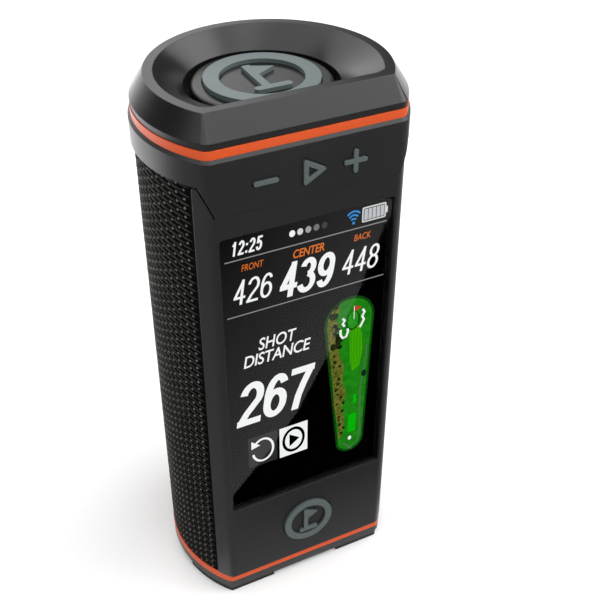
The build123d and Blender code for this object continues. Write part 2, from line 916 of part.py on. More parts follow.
def board_screws():
    screws = []
    for x, z in standoff_spots():
        head = rod(screw_head_radius, z, main_board_setback - screw_head, main_board_setback, x)
        shank = rod(screw_radius - 0.05, z, main_board_setback,
                    main_board_setback + main_board_thickness, x)
        screws.append(head + shank)
    return Compound(screws)


def gps_antenna():
    return (Pos(0, behind(antenna_setback), deck_top + antenna_thickness / 2)
            * Box(antenna_size, antenna_size, antenna_thickness))


def battery_distances():
    return (battery_setback, battery_setback + battery_pitch)


def battery_cell(distance):
    return post(battery_radius, 0, behind(distance), battery_z, battery_z + battery_length)


def battery_cells():
    return Compound([battery_cell(distance) for distance in battery_distances()])


def battery_cradle():
    """Block on the box's front wall, hollowed for the two cells and closed above and below."""
    low = battery_z - cradle_wall
    high = battery_z + battery_length + cradle_wall
    back = battery_distances()[-1]
    shape = slab((-cradle_half, cradle_half), (behind(box_front + box_wall), behind(back)),
                 (low, high))
    for distance in battery_distances():
        shape -= battery_cell(distance)
    return shape


# ================================================================ drivers
def around_driver(profile):
    """Turn a profile, drawn as (radius, height out of the box), about the right driver's axis."""
    ring = revolve(Plane.XZ * profile, Axis.Z)
    return Pos(box_half, driver_y(), driver_z) * Rot(0, 90, 0) * ring


def loop(*points):
    return make_face(Polyline(*points, close=True))


def driver_basket():
    floor = -basket_depth
    profile = loop((basket_radius - basket_wall, driver_flange), (driver_radius, driver_flange),
                   (driver_radius, 0), (basket_radius, 0), (basket_radius, floor),
                   (coil_inner + 3.0, floor), (coil_inner + 3.0, floor + basket_wall),
                   (basket_radius - basket_wall, floor + basket_wall))
    shape = around_driver(profile)
    opening = Box(*basket_window, basket_depth - 3 * basket_wall)
    for angle in (45, 135, 225, 315):
        window = Rot(0, 0, angle) * Pos(basket_radius, 0, -basket_depth / 2 + 0.3) * opening
        shape -= Pos(box_half, driver_y(), driver_z) * Rot(0, 90, 0) * window
    return shape


def driver_motor():
    top = -basket_depth
    low = top - motor_depth
    groove = top - motor_depth + 2.0
    profile = loop((0, top), (gap_inner, top), (gap_inner, groove), (gap_outer, groove),
                   (gap_outer, top), (motor_radius, top), (motor_radius, low), (0, low))
    return around_driver(profile)


def driver_cone():
    """Paper cone with its dust dome and voice coil, as one moving piece."""
    rim = cone_wall
    base = rim - cone_depth
    coil_outer = coil_inner + coil_wall
    coil_low = -basket_depth - motor_depth + 2.0 + cone_travel + 0.8
    profile = loop((cone_radius, rim), (cone_radius, rim - cone_wall), (coil_outer, base),
                   (coil_outer, coil_low), (coil_inner, coil_low), (coil_inner, base + cone_wall))
    dome_edge = coil_inner + 0.3
    dome = loop((0, base + cone_wall + 2.0), (dome_edge, base + cone_wall), (dome_edge, base),
                (0, base + 2 * cone_wall))
    return around_driver(profile) + around_driver(dome)


def driver_surround():
    inner = cone_radius + cone_gap
    outer = basket_radius + 1.2
    seat = driver_flange
    profile = loop((outer, seat), (outer, seat + roll_wall), (outer - 1.6, seat + roll_wall),
                   (outer - 2.2, seat + 2.0), (inner + 0.8, seat + 2.0), (inner, seat + roll_wall),
                   (inner, seat - 0.4), (inner + roll_wall, seat - 0.4), (inner + 1.1, seat + 1.3),
                   (outer - 2.5, seat + 1.3), (outer - 2.0, seat))
    return around_driver(profile)


def radiator_plan(inset):
    return RectangleRounded(radiator_width - 2 * inset, radiator_height - 2 * inset,
                            radiator_corner - inset)


def radiator_piece(plan, low, high):
    """A plan on the box's flat back, made solid between two heights off it."""
    return Pos(0, behind(box_back + low), radiator_z) * extrude(Rot(-90, 0, 0) * plan, high - low)


def radiator_frame():
    frame = radiator_piece(radiator_plan(0), 0, radiator_thickness)
    return frame - radiator_piece(radiator_plan(radiator_rim), 0, radiator_thickness)


def radiator_plate():
    """Sprung plate with a steel weight on its inner side."""
    face = radiator_thickness - 0.1
    plate = radiator_piece(radiator_plan(radiator_rim + cone_gap), 0.2, face)
    weight = radiator_piece(RectangleRounded(*radiator_weight, radiator_corner / 3),
                            -radiator_weight_depth, 0.2)
    return plate + weight


# ================================================================ remote
def remote_z(height):
    return well_z + height


def remote_disc(radius, low, high):
    return post(radius, 0, well_y, remote_z(low), remote_z(high))


def remote_case():
    shape = remote_disc(remote_radius, remote_base_wall, remote_face)
    top_edge = shape.edges().sort_by(Axis.Z)[-1]
    shape = fillet(top_edge, remote_edge)
    inner = remote_radius - remote_side_wall
    shape -= remote_disc(inner, remote_base_wall, remote_face - remote_top_wall)
    shape -= remote_disc(remote_ring_outer + key_gap, remote_base_wall, remote_face)
    return shape


def remote_base():
    shape = remote_disc(remote_radius, 0, remote_base_wall)
    low_edge = shape.edges().sort_by(Axis.Z)[0]
    shape = chamfer(low_edge, remote_base_chamfer)
    lip = remote_radius - remote_side_wall
    lip_top = remote_base_wall + remote_lip_height
    shape += remote_disc(lip, remote_base_wall, lip_top)
    shape -= remote_disc(cell_radius + cell_gap, remote_base_wall, lip_top)
    shape -= remote_disc(remote_magnet_radius, 0, remote_magnet_thickness)
    return shape


def remote_magnet():
    return remote_disc(remote_magnet_radius, 0, remote_magnet_thickness)


def coin_cell():
    low = remote_base_wall
    shape = remote_disc(cell_radius, low + cell_step, low + cell_thickness)
    return shape + remote_disc(cell_radius - cell_step_inset, low, low + cell_step)


def remote_key_levels():
    """Flange bottom, flange top, floor under the inlay, ring top."""
    flange_top = remote_face - remote_top_wall - key_flange_gap
    return (flange_top - remote_flange_thickness, flange_top, flange_top + remote_key_floor,
            remote_face + remote_ring_proud)


def remote_key():
    low, flange_top, floor, ring_top = remote_key_levels()
    shape = remote_disc(remote_ring_outer + remote_flange, low, flange_top)
    shape += remote_disc(remote_ring_outer, flange_top, ring_top)
    shape -= remote_disc(remote_ring_inner, floor, ring_top)
    mark = Pos(0, well_y, remote_z(floor)) * flag_mark(remote_mark_height)
    return shape + extrude(mark, ring_top - floor)


def remote_key_inlay():
    low, flange_top, floor, ring_top = remote_key_levels()
    shape = remote_disc(remote_ring_inner, floor, remote_face)
    mark = Pos(0, well_y, remote_z(floor)) * flag_mark(remote_mark_height)
    return shape - extrude(mark, remote_face - floor)


def remote_board():
    high = remote_board_top()
    radius = remote_radius - remote_side_wall - remote_board_gap
    return remote_disc(radius, high - remote_board_thickness, high)


def remote_board_top():
    return remote_key_levels()[0] - remote_key_travel - key_flange_gap - switch_height


def remote_switch():
    top = remote_board_top()
    half = switch_size / 2
    body = slab((-half, half), (well_y - half, well_y + half),
                (remote_z(top), remote_z(top + switch_height - switch_cap)))
    return body + remote_disc(stem_radius, top, top + switch_height)


# ================================================================ all pieces
def pieces():
    basket = driver_basket()
    motor = driver_motor()
    cone = driver_cone()
    surround = driver_surround()
    return {
        "base_plate": base_plate(),
        "base_screws": base_screws(),
        "feet": feet(),
        "lower_trim_ring": lower_trim_ring(),
        "front_panel": front_panel(),
        "upper_collar": upper_collar(),
        "upper_trim_ring": upper_trim_ring(),
        "neck_ring": neck_ring(),
        "cap": cap(),
        "cap_screws": cap_screws(),
        "dock_magnet": dock_magnet(),
        "minus_key": collar_key(minus_icon(), -icon_pitch),
        "plus_key": collar_key(plus_icon(), icon_pitch),
        "play_key": play_key(),
        "play_key_inlay": play_key_inlay(),
        "key_board": key_board(),
        "home_key": home_key(),
        "home_key_inlay": home_key_inlay(),
        "home_board": home_board(),
        "key_switches": key_switches(),
        "cover_glass": cover_glass(),
        "glass_gasket": glass_gasket(),
        "display_panel": display_panel(),
        "display_tray": display_tray(),
        "grille_frame": grille_frame(),
        "grille_fabric": grille_fabric(),
        "rear_pad": rear_pad(),
        "pad_magnets": pad_magnets(),
        "port_surround": port_surround(),
        "port_flap": port_flap(),
        "port_board": port_board(),
        "usb_socket": usb_socket(),
        "speaker_box": speaker_box(),
        "top_deck": top_deck(),
        "main_board": main_board(),
        "board_chips": board_chips(),
        "radio_shield": radio_shield(),
        "board_screws": board_screws(),
        "gps_antenna": gps_antenna(),
        "battery_cells": battery_cells(),
        "battery_cradle": battery_cradle(),
        "driver_basket_right": basket,
        "driver_motor_right": motor,
        "driver_cone_right": cone,
        "driver_surround_right": surround,
        "driver_basket_left": mirrored(basket),
        "driver_motor_left": mirrored(motor),
        "driver_cone_left": mirrored(cone),
        "driver_surround_left": mirrored(surround),
        "radiator_frame": radiator_frame(),
        "radiator_plate": radiator_plate(),
        "remote_case": remote_case(),
        "remote_base": remote_base(),
        "remote_magnet": remote_magnet(),
        "remote_key": remote_key(),
        "remote_key_inlay": remote_key_inlay(),
        "remote_board": remote_board(),
        "remote_switch": remote_switch(),
        "coin_cell": coin_cell(),
    }


os.makedirs("parts", exist_ok=True)
for node, shape in pieces().items():
    export_step(shape, f"parts/{node}.step")
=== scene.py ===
import json
import math
import random

import bpy
import numpy as np
from mathutils import Matrix, Vector


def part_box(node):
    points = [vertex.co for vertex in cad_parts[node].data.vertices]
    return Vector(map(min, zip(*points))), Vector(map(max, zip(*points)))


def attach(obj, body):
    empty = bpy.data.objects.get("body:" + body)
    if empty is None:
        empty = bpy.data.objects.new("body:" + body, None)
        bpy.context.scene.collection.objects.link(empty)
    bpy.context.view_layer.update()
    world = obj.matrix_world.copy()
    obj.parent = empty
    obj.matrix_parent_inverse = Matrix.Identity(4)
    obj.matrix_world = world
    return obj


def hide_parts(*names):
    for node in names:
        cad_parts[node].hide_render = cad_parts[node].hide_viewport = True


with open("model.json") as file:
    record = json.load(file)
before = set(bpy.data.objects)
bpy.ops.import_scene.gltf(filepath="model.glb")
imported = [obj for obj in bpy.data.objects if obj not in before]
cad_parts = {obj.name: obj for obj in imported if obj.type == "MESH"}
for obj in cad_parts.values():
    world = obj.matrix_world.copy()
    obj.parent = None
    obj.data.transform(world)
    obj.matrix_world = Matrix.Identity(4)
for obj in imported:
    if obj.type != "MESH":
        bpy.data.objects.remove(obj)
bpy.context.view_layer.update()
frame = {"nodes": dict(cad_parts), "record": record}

MM = 0.001
random.seed(7)
grit = np.random.default_rng(7)


# ================================================================ workshop helpers
def linear(hex_colour):
    """An sRGB hex value as the linear colour a shader takes."""
    channels = [int(hex_colour[at:at + 2], 16) / 255 for at in (1, 3, 5)]
    return tuple(c / 12.92 if c <= 0.04045 else ((c + 0.055) / 1.055) ** 2.4
                 for c in channels) + (1.0,)


def add(tree, kind, inputs=None, **settings):
    """Add a node, set its own fields, and give each input a value or another node's output."""
    made = tree.nodes.new(kind)
    for field, value in settings.items():
        setattr(made, field, value)
    for socket, value in (inputs or {}).items():
        if isinstance(value, bpy.types.NodeSocket):
            tree.links.new(value, made.inputs[socket])
        else:
            made.inputs[socket].default_value = value
    return made


def blank(name):
    """A new material with no nodes yet."""
    material = bpy.data.materials.new(name)
    material.use_nodes = True
    material.node_tree.nodes.clear()
    return material, material.node_tree


def start(name, **sockets):
    """A new material with its shader; sockets that are the same all over are set on the shader."""
    material, tree = blank(name)
    shader = add(tree, "ShaderNodeBsdfPrincipled",
                 {key.replace("_", " "): value for key, value in sockets.items()})
    add(tree, "ShaderNodeOutputMaterial", {"Surface": shader.outputs[0]})
    return material, tree, shader


def per_mm(millimetres):
    """Texture scale whose features are this far apart."""
    return 1.0 / (millimetres * MM)


def spread(tree, value, low, high, to_low, to_high):
    """The output of a map range from low..high to to_low..to_high."""
    return add(tree, "ShaderNodeMapRange",
               {"Value": value, "From Min": low, "From Max": high,
                "To Min": to_low, "To Max": to_high}).outputs["Result"]


def tint(tree, amount, first, second):
    """Between two hex colours, by amount."""
    return add(tree, "ShaderNodeMix",
               {"Factor": amount, "A": linear(first), "B": linear(second)},
               data_type="RGBA").outputs[2]


def connect(tree, shader, **links):
    """Link outputs to the shader's sockets by name."""
    for socket, output in links.items():
        tree.links.new(output, shader.inputs[socket.replace("_", " ")])


# ================================================================ finishes
def moulded_plastic(name, colour, rubbed, gloss, grain_mm, depth_mm, edge_mm=0.25, specular=0.5):
    """Injection-moulded ABS. The mould's spark-eroded grain gives an even, soft gloss, and the
    edges are rounded, a little paler and smoother where hands rub them. The real grain is about
    0.1 mm, too fine to show, so it is drawn coarser."""
    material, tree, shader = start(name, IOR=1.53, Specular_IOR_Level=specular)
    place = add(tree, "ShaderNodeTexCoord").outputs["Object"]
    grain = add(tree, "ShaderNodeTexNoise",
                {"Vector": place, "Scale": per_mm(grain_mm), "Detail": 3.0, "Roughness": 0.65})
    clouds = add(tree, "ShaderNodeTexNoise",
                 {"Vector": place, "Scale": per_mm(34.0), "Detail": 4.0, "Roughness": 0.6})
    rounded = add(tree, "ShaderNodeBevel", {"Radius": edge_mm * MM}, samples=4)
    face = add(tree, "ShaderNodeNewGeometry").outputs["Normal"]
    turn = add(tree, "ShaderNodeVectorMath", {0: rounded.outputs[0], 1: face},
               operation="DOT_PRODUCT").outputs["Value"]
    edge = spread(tree, turn, 0.995, 0.80, 0.0, 1.0)
    patchy = add(tree, "ShaderNodeMath", {0: edge, 1: clouds.outputs[0]}, operation="MULTIPLY")
    body = tint(tree, patchy.outputs[0], colour, rubbed)
    speck = spread(tree, grain.outputs[0], 0.30, 0.70, 0.93, 1.07)
    shade = add(tree, "ShaderNodeVectorMath", {0: body, "Scale": speck}, operation="SCALE")
    smooth = spread(tree, clouds.outputs[0], 0.35, 0.65, gloss + 0.03, gloss - 0.03)
    worn = add(tree, "ShaderNodeMath", {0: edge, 1: -0.05, 2: smooth},
               operation="MULTIPLY_ADD")
    relief = add(tree, "ShaderNodeBump",
                 {"Height": grain.outputs[0], "Distance": depth_mm * MM, "Strength": 1.0,
                  "Normal": rounded.outputs[0]})
    connect(tree, shader, Base_Color=shade.outputs[0], Roughness=worn.outputs[0],
            Normal=relief.outputs[0])
    return material


def yarn(name, colour, pale, gloss):
    """Polyester filament yarn, dyed through. Fine filaments lie along each float and give it a
    dull silk sheen. They are about 0.02 mm, too fine to show, so they are drawn at 0.3 mm."""
    material, tree, shader = start(name, IOR=1.5, Specular_IOR_Level=0.3, Sheen_Weight=0.04,
                                   Sheen_Roughness=0.45, Sheen_Tint=linear("#9a9a94"))
    place = add(tree, "ShaderNodeTexCoord").outputs["Object"]
    along = add(tree, "ShaderNodeMapping", {"Vector": place, "Scale": (0.35, 0.35, 1.0)})
    strands = add(tree, "ShaderNodeTexNoise",
                  {"Vector": along.outputs[0], "Scale": per_mm(0.3), "Detail": 2.0})
    batch = add(tree, "ShaderNodeTexNoise", {"Vector": place, "Scale": per_mm(6.0), "Detail": 3.0})
    both = add(tree, "ShaderNodeMath", {0: strands.outputs[0], 1: batch.outputs[0]},
               operation="MULTIPLY")
    amount = spread(tree, both.outputs[0], 0.12, 0.42, 0.0, 1.0)
    relief = add(tree, "ShaderNodeBump", {"Height": strands.outputs[0], "Distance": 0.05 * MM,
                                          "Strength": 1.0})
    connect(tree, shader, Base_Color=tint(tree, amount, colour, pale),
            Roughness=spread(tree, strands.outputs[0], 0.3, 0.7, gloss, gloss + 0.12),
            Normal=relief.outputs[0])
    return material


def backing_cloth():
    """Close black knit under the floats: deep between the yarns, with hardly any sheen. Painted
    shade darkens the recessed gaps between its loops.
    """
    material, tree, shader = start("knit_backing", IOR=1.45, Specular_IOR_Level=0.08)
    place = add(tree, "ShaderNodeTexCoord").outputs["Object"]
    cells = add(tree, "ShaderNodeTexVoronoi", {"Vector": place, "Scale": per_mm(0.7)})
    relief = add(tree, "ShaderNodeBump", {"Height": cells.outputs["Distance"],
                                          "Distance": 0.12 * MM, "Strength": 1.0}, invert=True)
    # Painted shade: the colour darkens towards the cell edges, which the inverted bump sinks as
    # gaps between the loops.
    connect(tree, shader,
            Base_Color=tint(tree, spread(tree, cells.outputs["Distance"], 0.1, 0.7, 0.0, 1.0),
                            "#060605", "#020202"),
            Roughness=spread(tree, cells.outputs["Distance"], 0.0, 0.8, 0.72, 0.9),
            Normal=relief.outputs[0])
    return material


def moulded_rubber(name, colour, dusty, gloss=0.68, ribs_mm=None):
    """Moulded silicone rubber: matt, with dust caught in its pores, and ribs where it grips."""
    material, tree, shader = start(name, IOR=1.42)
    place = add(tree, "ShaderNodeTexCoord").outputs["Object"]
    pores = add(tree, "ShaderNodeTexNoise",
                {"Vector": place, "Scale": per_mm(0.6), "Detail": 4.0, "Roughness": 0.7})
    dust = add(tree, "ShaderNodeTexNoise",
               {"Vector": place, "Scale": per_mm(9.0), "Detail": 5.0, "Roughness": 0.6})
    height = pores.outputs[0]
    if ribs_mm:
        ribs = add(tree, "ShaderNodeTexWave", {"Vector": place, "Scale": per_mm(ribs_mm) / 20.0},
                   bands_direction="Z", wave_profile="SIN")
        height = add(tree, "ShaderNodeMath", {0: ribs.outputs[1], 1: 6.0, 2: pores.outputs[0]},
                     operation="MULTIPLY_ADD").outputs[0]
    rounded = add(tree, "ShaderNodeBevel", {"Radius": 0.3 * MM}, samples=4)
    relief = add(tree, "ShaderNodeBump", {"Height": height, "Distance": 0.03 * MM,
                                          "Strength": 1.0, "Normal": rounded.outputs[0]})
    connect(tree, shader,
            Base_Color=tint(tree, spread(tree, dust.outputs[0], 0.42, 0.72, 0.0, 0.6),
                            colour, dusty),
            Roughness=spread(tree, pores.outputs[0], 0.3, 0.7, gloss, gloss + 0.15),
            Normal=relief.outputs[0])
    return material


def cover_glass_finish():
    """Chemically strengthened glass, polished: clear, with a sharp reflection that grows towards
    grazing, and the faintest smear of fingers. Its inner face is coated against reflections."""
    glass_low, glass_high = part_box("cover_glass")
    glass_middle = (glass_low.y + glass_high.y) / 2
    material, tree = blank("strengthened_glass")
    place = add(tree, "ShaderNodeTexCoord").outputs["Object"]
    smear = add(tree, "ShaderNodeTexNoise",
                {"Vector": place, "Scale": per_mm(22.0), "Detail": 6.0, "Distortion": 1.5})
    clear = add(tree, "ShaderNodeBsdfTransparent", {"Color": linear("#fbfcfc")})
    shine = add(tree, "ShaderNodeBsdfGlossy",
                {"Color": (1, 1, 1, 1),
                 "Roughness": spread(tree, smear.outputs[0], 0.40, 0.75, 0.015, 0.05)})
    share = add(tree, "ShaderNodeFresnel", {"IOR": 1.5})
    depth = add(tree, "ShaderNodeSeparateXYZ", {0: place}).outputs["Y"]
    blend = 0.1 * MM
    outer_face = spread(tree, depth, glass_middle - blend, glass_middle + blend, 1.0, 0.0)
    gloss = add(tree, "ShaderNodeMath", {0: share.outputs[0], 1: outer_face},
                operation="MULTIPLY")
    mixed = add(tree, "ShaderNodeMixShader",
                {0: gloss.outputs[0], 1: clear.outputs[0], 2: shine.outputs[0]})
    add(tree, "ShaderNodeOutputMaterial", {"Surface": mixed.outputs[0]})
    return material


def dark_display():
    """Face of the liquid-crystal panel where no cell is lit: almost black, with the faint grid
    of its cells. The real grid is 0.07 mm, drawn here at 0.3 mm."""
    material, tree, shader = start("unlit_display", Roughness=0.6, Specular_IOR_Level=0.0)
    place = add(tree, "ShaderNodeTexCoord").outputs["Object"]
    grid = add(tree, "ShaderNodeTexVoronoi",
               {"Vector": place, "Scale": per_mm(0.3), "Randomness": 0.0}, distance="CHEBYCHEV")
    connect(tree, shader, Base_Color=tint(
        tree, spread(tree, grid.outputs["Distance"], 0.2, 0.5, 0.0, 1.0), "#050505", "#020202"))
    return material


def lit_cells(name, colour, mottle=None, patch_mm=1.0):
    """Lit cells of the display: the light comes from behind, so it doesn't shade. The dark
    lines between cells are 0.07 mm apart, drawn here at 0.3 mm and very faint."""
    material, tree, shader = start(name, Base_Color=(0, 0, 0, 1), Roughness=0.6,
                                   Specular_IOR_Level=0.0, Emission_Strength=1.0)
    place = add(tree, "ShaderNodeTexCoord").outputs["Object"]
    grid = add(tree, "ShaderNodeTexVoronoi",
               {"Vector": place, "Scale": per_mm(0.3), "Randomness": 0.0}, distance="CHEBYCHEV")
    lines = spread(tree, grid.outputs["Distance"], 0.35, 0.5, 1.0, 0.97)
    if mottle:
        patches = add(tree, "ShaderNodeTexNoise",
                      {"Vector": place, "Scale": per_mm(patch_mm), "Detail": 5.0,
                       "Roughness": 0.7})
        picture = tint(tree, spread(tree, patches.outputs[0], 0.40, 0.62, 0.0, 1.0),
                       colour, mottle)
    else:
        picture = linear(colour)[:3]
    light = add(tree, "ShaderNodeVectorMath", {0: picture, "Scale": lines}, operation="SCALE")
    connect(tree, shader, Emission_Color=light.outputs[0])
    return material


def foam_tape():
    """Black closed-cell foam tape, cut with a blade: dull, with open cells on its edge, and
    painted shade in their hollows.
    """
    material, tree, shader = start("foam_tape", IOR=1.4)
    place = add(tree, "ShaderNodeTexCoord").outputs["Object"]
    cells = add(tree, "ShaderNodeTexVoronoi", {"Vector": place, "Scale": per_mm(0.35)})
    relief = add(tree, "ShaderNodeBump", {"Height": cells.outputs["Distance"],
                                          "Distance": 0.08 * MM, "Strength": 1.0})
    # Painted shade: each cell is darker in its hollow middle and paler on its raised rim.
    connect(tree, shader,
            Base_Color=tint(tree, cells.outputs["Distance"], "#0b0b0b", "#1c1c1c"),
            Roughness=spread(tree, cells.outputs["Distance"], 0.0, 1.0, 0.85, 0.95),
            Normal=relief.outputs[0])
    return material


def circuit_board():
    """Glass-epoxy board under green solder mask. The copper tracks beneath lift the mask, so
    it is glossier and paler over them."""
    material, tree, shader = start("solder_mask", IOR=1.5, Coat_Weight=0.4, Coat_Roughness=0.15)
    place = add(tree, "ShaderNodeTexCoord").outputs["Object"]
    tracks = add(tree, "ShaderNodeTexBrick",
                 {"Vector": place, "Scale": per_mm(8.0), "Mortar Size": 0.02,
                  "Color1": (0, 0, 0, 1), "Color2": (0.2, 0.2, 0.2, 1), "Mortar": (1, 1, 1, 1)})
    pads = add(tree, "ShaderNodeTexVoronoi", {"Vector": place, "Scale": per_mm(3.2)})
    spots = spread(tree, pads.outputs["Distance"], 0.12, 0.17, 1.0, 0.0)
    copper = add(tree, "ShaderNodeMath", {0: tracks.outputs[0], 1: spots}, operation="MAXIMUM")
    relief = add(tree, "ShaderNodeBump", {"Height": copper.outputs[0], "Distance": 0.04 * MM,
                                          "Strength": 1.0})
    connect(tree, shader, Base_Color=tint(tree, copper.outputs[0], "#0f4a2a", "#2f7a45"),
            Roughness=spread(tree, copper.outputs[0], 0.0, 1.0, 0.42, 0.28),
            Normal=relief.outputs[0])
    return material


def brushed_metal(name, colour, dull, gloss, lines_mm=0.4):
    """Rolled sheet or turned bar with its last working left on it: fine parallel lines that
    stretch the highlights, drawn coarser than the real 0.05 mm."""
    material, tree, shader = start(name, Metallic=1.0)
    place = add(tree, "ShaderNodeTexCoord").outputs["Object"]
    pulled = add(tree, "ShaderNodeMapping", {"Vector": place, "Scale": (1.0, 1.0, 0.05)})
    lines = add(tree, "ShaderNodeTexNoise",
                {"Vector": pulled.outputs[0], "Scale": per_mm(lines_mm), "Detail": 3.0})
    stain = add(tree, "ShaderNodeTexNoise", {"Vector": place, "Scale": per_mm(7.0), "Detail": 5.0})
    relief = add(tree, "ShaderNodeBump", {"Height": lines.outputs[0], "Distance": 0.01 * MM,
                                          "Strength": 1.0})
    connect(tree, shader,
            Base_Color=tint(tree, spread(tree, stain.outputs[0], 0.4, 0.7, 0.0, 1.0),
                            colour, dull),
            Roughness=spread(tree, lines.outputs[0], 0.3, 0.7, gloss, gloss + 0.15),
            Normal=relief.outputs[0])
    return material


def fired_ceramic():
    """Pressed and fired ceramic with a silvered top: chalky, pale, finely speckled."""
    material, tree, shader = start("fired_ceramic", IOR=1.55)
    place = add(tree, "ShaderNodeTexCoord").outputs["Object"]
    specks = add(tree, "ShaderNodeTexNoise",
                 {"Vector": place, "Scale": per_mm(0.8), "Detail": 6.0, "Roughness": 0.8})
    relief = add(tree, "ShaderNodeBump", {"Height": specks.outputs[0], "Distance": 0.02 * MM,
                                          "Strength": 1.0})
    connect(tree, shader,
            Base_Color=tint(tree, spread(tree, specks.outputs[0], 0.35, 0.7, 0.0, 1.0),
                            "#e0d8c4", "#b3a88e"),
            Roughness=spread(tree, specks.outputs[0], 0.3, 0.7, 0.45, 0.65),
            Normal=relief.outputs[0])
    return material


def shrink_sleeve():
    """Heat-shrunk sleeve on a battery cell: thin glossy plastic with slack ripples."""
    material, tree, shader = start("shrink_sleeve", IOR=1.5, Coat_Weight=0.6, Coat_Roughness=0.1)
    place = add(tree, "ShaderNodeTexCoord").outputs["Object"]
    ripples = add(tree, "ShaderNodeTexNoise",
                  {"Vector": place, "Scale": per_mm(5.0), "Detail": 2.0, "Distortion": 0.8})
    relief = add(tree, "ShaderNodeBump", {"Height": ripples.outputs[0], "Distance": 0.2 * MM,
                                          "Strength": 0.6})
    connect(tree, shader,
            Base_Color=tint(tree, spread(tree, ripples.outputs[0], 0.3, 0.7, 0.0, 1.0),
                            "#1f5f8f", "#2a74a8"),
            Roughness=spread(tree, ripples.outputs[0], 0.3, 0.7, 0.25, 0.38),
            Normal=relief.outputs[0])
    return material


def pressed_pulp():
    """Loudspeaker cone pressed from wood pulp and dyed black: fibres show as short pale hairs."""
    material, tree, shader = start("pressed_pulp", IOR=1.45)
    place = add(tree, "ShaderNodeTexCoord").outputs["Object"]
    stretched = add(tree, "ShaderNodeMapping", {"Vector": place, "Scale": (1.0, 0.3, 1.0)})
    fibres = add(tree, "ShaderNodeTexNoise",
                 {"Vector": stretched.outputs[0], "Scale": per_mm(0.5), "Detail": 6.0,
                  "Distortion": 2.0})
    relief = add(tree, "ShaderNodeBump", {"Height": fibres.outputs[0], "Distance": 0.06 * MM,
                                          "Strength": 1.0})
    connect(tree, shader,
            Base_Color=tint(tree, spread(tree, fibres.outputs[0], 0.5, 0.75, 0.0, 1.0),
                            "#141413", "#3a3935"),
            Roughness=spread(tree, fibres.outputs[0], 0.3, 0.7, 0.8, 0.92),
            Normal=relief.outputs[0])
    return material


finishes = {
    "charcoal_plastic": moulded_plastic("charcoal_abs", "#161617", "#2b2b2c", 0.38, 0.45, 0.006),
    "cap_plastic": moulded_plastic("satin_grey_abs", "#131314", "#2c2c2c", 0.25, 0.40, 0.003,
                                   edge_mm=0.35),
    "orange_trim": moulded_plastic("orange_abs", "#d04a08", "#e2692e", 0.38, 0.5, 0.004,
                                   specular=0.3),
    "key_grey": moulded_plastic("grey_key_abs", "#4e5757", "#758080", 0.38, 0.4, 0.005,
                                edge_mm=0.2),
    "remote_key_grey": moulded_plastic("pale_grey_key_abs", "#5d6868", "#879292", 0.36, 0.4,
                                       0.005, edge_mm=0.2),
    "inner_plastic": moulded_plastic("glass_filled_nylon", "#131314", "#262627", 0.55, 0.6, 0.02),
    "chip": moulded_plastic("chip_epoxy", "#151516", "#2b2b2c", 0.5, 0.3, 0.01),
    "basket_steel": moulded_plastic("black_electrocoat", "#161616", "#303030", 0.36, 0.8, 0.01),
    "foot_rubber": moulded_rubber("foot_silicone", "#1b1b1b", "#2f2e2c"),
    "pad_rubber": moulded_rubber("pad_silicone", "#1e1e1f", "#33322f", ribs_mm=2.0),
    "flap_rubber": moulded_rubber("flap_silicone", "#202021", "#343331", gloss=0.6),
    "surround_rubber": moulded_rubber("surround_butyl", "#101010", "#232321", gloss=0.5),
    "fabric": backing_cloth(),
    "glass": cover_glass_finish(),
    "screen": dark_display(),
    "gasket_foam": foam_tape(),
    "board": circuit_board(),
    "tin_can": brushed_metal("tin_plate", "#c9c9c6", "#9d9d99", 0.25),
    "steel": brushed_metal("zinc_plated_steel", "#b4b5b8", "#85868a", 0.28),
    "magnet_nickel": brushed_metal("nickel_plate", "#c4c2ba", "#a19f97", 0.14, lines_mm=1.2),
    "coin_steel": brushed_metal("stainless_can", "#cfcfcc", "#a9a9a6", 0.22),
    "ceramic_patch": fired_ceramic(),
    "cell_sleeve": shrink_sleeve(),
    "cone_paper": pressed_pulp(),
}

for part in frame["record"]["subparts"]:
    shown = frame["nodes"][part["node"]]
    for place in shown.material_slots:
        place.material = finishes[part["material_slot"]]


# ================================================================ meshes
def make_piece(name, points, faces, finish, body="housing", smooth=True):
    """A mesh piece from its points in metres, riding on a body."""
    mesh = bpy.data.meshes.new(name)
    mesh.from_pydata([tuple(point) for point in points], [], [tuple(face) for face in faces])
    mesh.validate()
    mesh.update()
    if smooth:
        mesh.shade_smooth()
    mesh.materials.append(finish)
    piece = bpy.data.objects.new(name, mesh)
    bpy.context.collection.objects.link(piece)
    if body:
        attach(piece, body)
    return piece


def prism_faces(count, first=0):
    """Faces that close a prism made of two rings of count points, from point first on."""
    near = range(first, first + count)
    far = range(first + count, first + 2 * count)
    return [tuple(near), tuple(reversed(far))] + [
        (first + at, first + at + count, first + (at + 1) % count + count,
         first + (at + 1) % count) for at in range(count)]


def rounded_outline(width, height, corner, steps=8):
    """Corner points of a rounded rectangle about its middle, anticlockwise."""
    points = []
    for quarter, (side, up) in enumerate(((1, 1), (-1, 1), (-1, -1), (1, -1))):
        for step in range(steps + 1):
            angle = math.pi / 2 * (quarter + step / steps)
            points.append((side * (width / 2 - corner) + corner * math.cos(angle),
                           up * (height / 2 - corner) + corner * math.sin(angle)))
    return points


def oval(u, v, across, up, steps=40):
    """Corner points of an oval, anticlockwise."""
    return [(u + across * math.cos(2 * math.pi * step / steps),
             v + up * math.sin(2 * math.pi * step / steps)) for step in range(steps)]


# ================================================================ acoustic cloth
cloth_low, cloth_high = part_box("grille_fabric")
pad_low, pad_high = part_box("rear_pad")
port_low, port_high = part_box("port_surround")
cloth_radius = cloth_high.x - 0.30 * MM     # sheet's outer face; the floats rise to the CAD face
cloth_thickness = 0.4 * MM
round_axis_y = cloth_high.y - cloth_high.x
half_sweep = math.pi / 2 + math.asin((round_axis_y - cloth_low.y) / cloth_high.x)
cloth_gap = 0.1 * MM
cutter_length = 80 * MM
pad_corner = 4.0 * MM
port_corner = 1.0 * MM


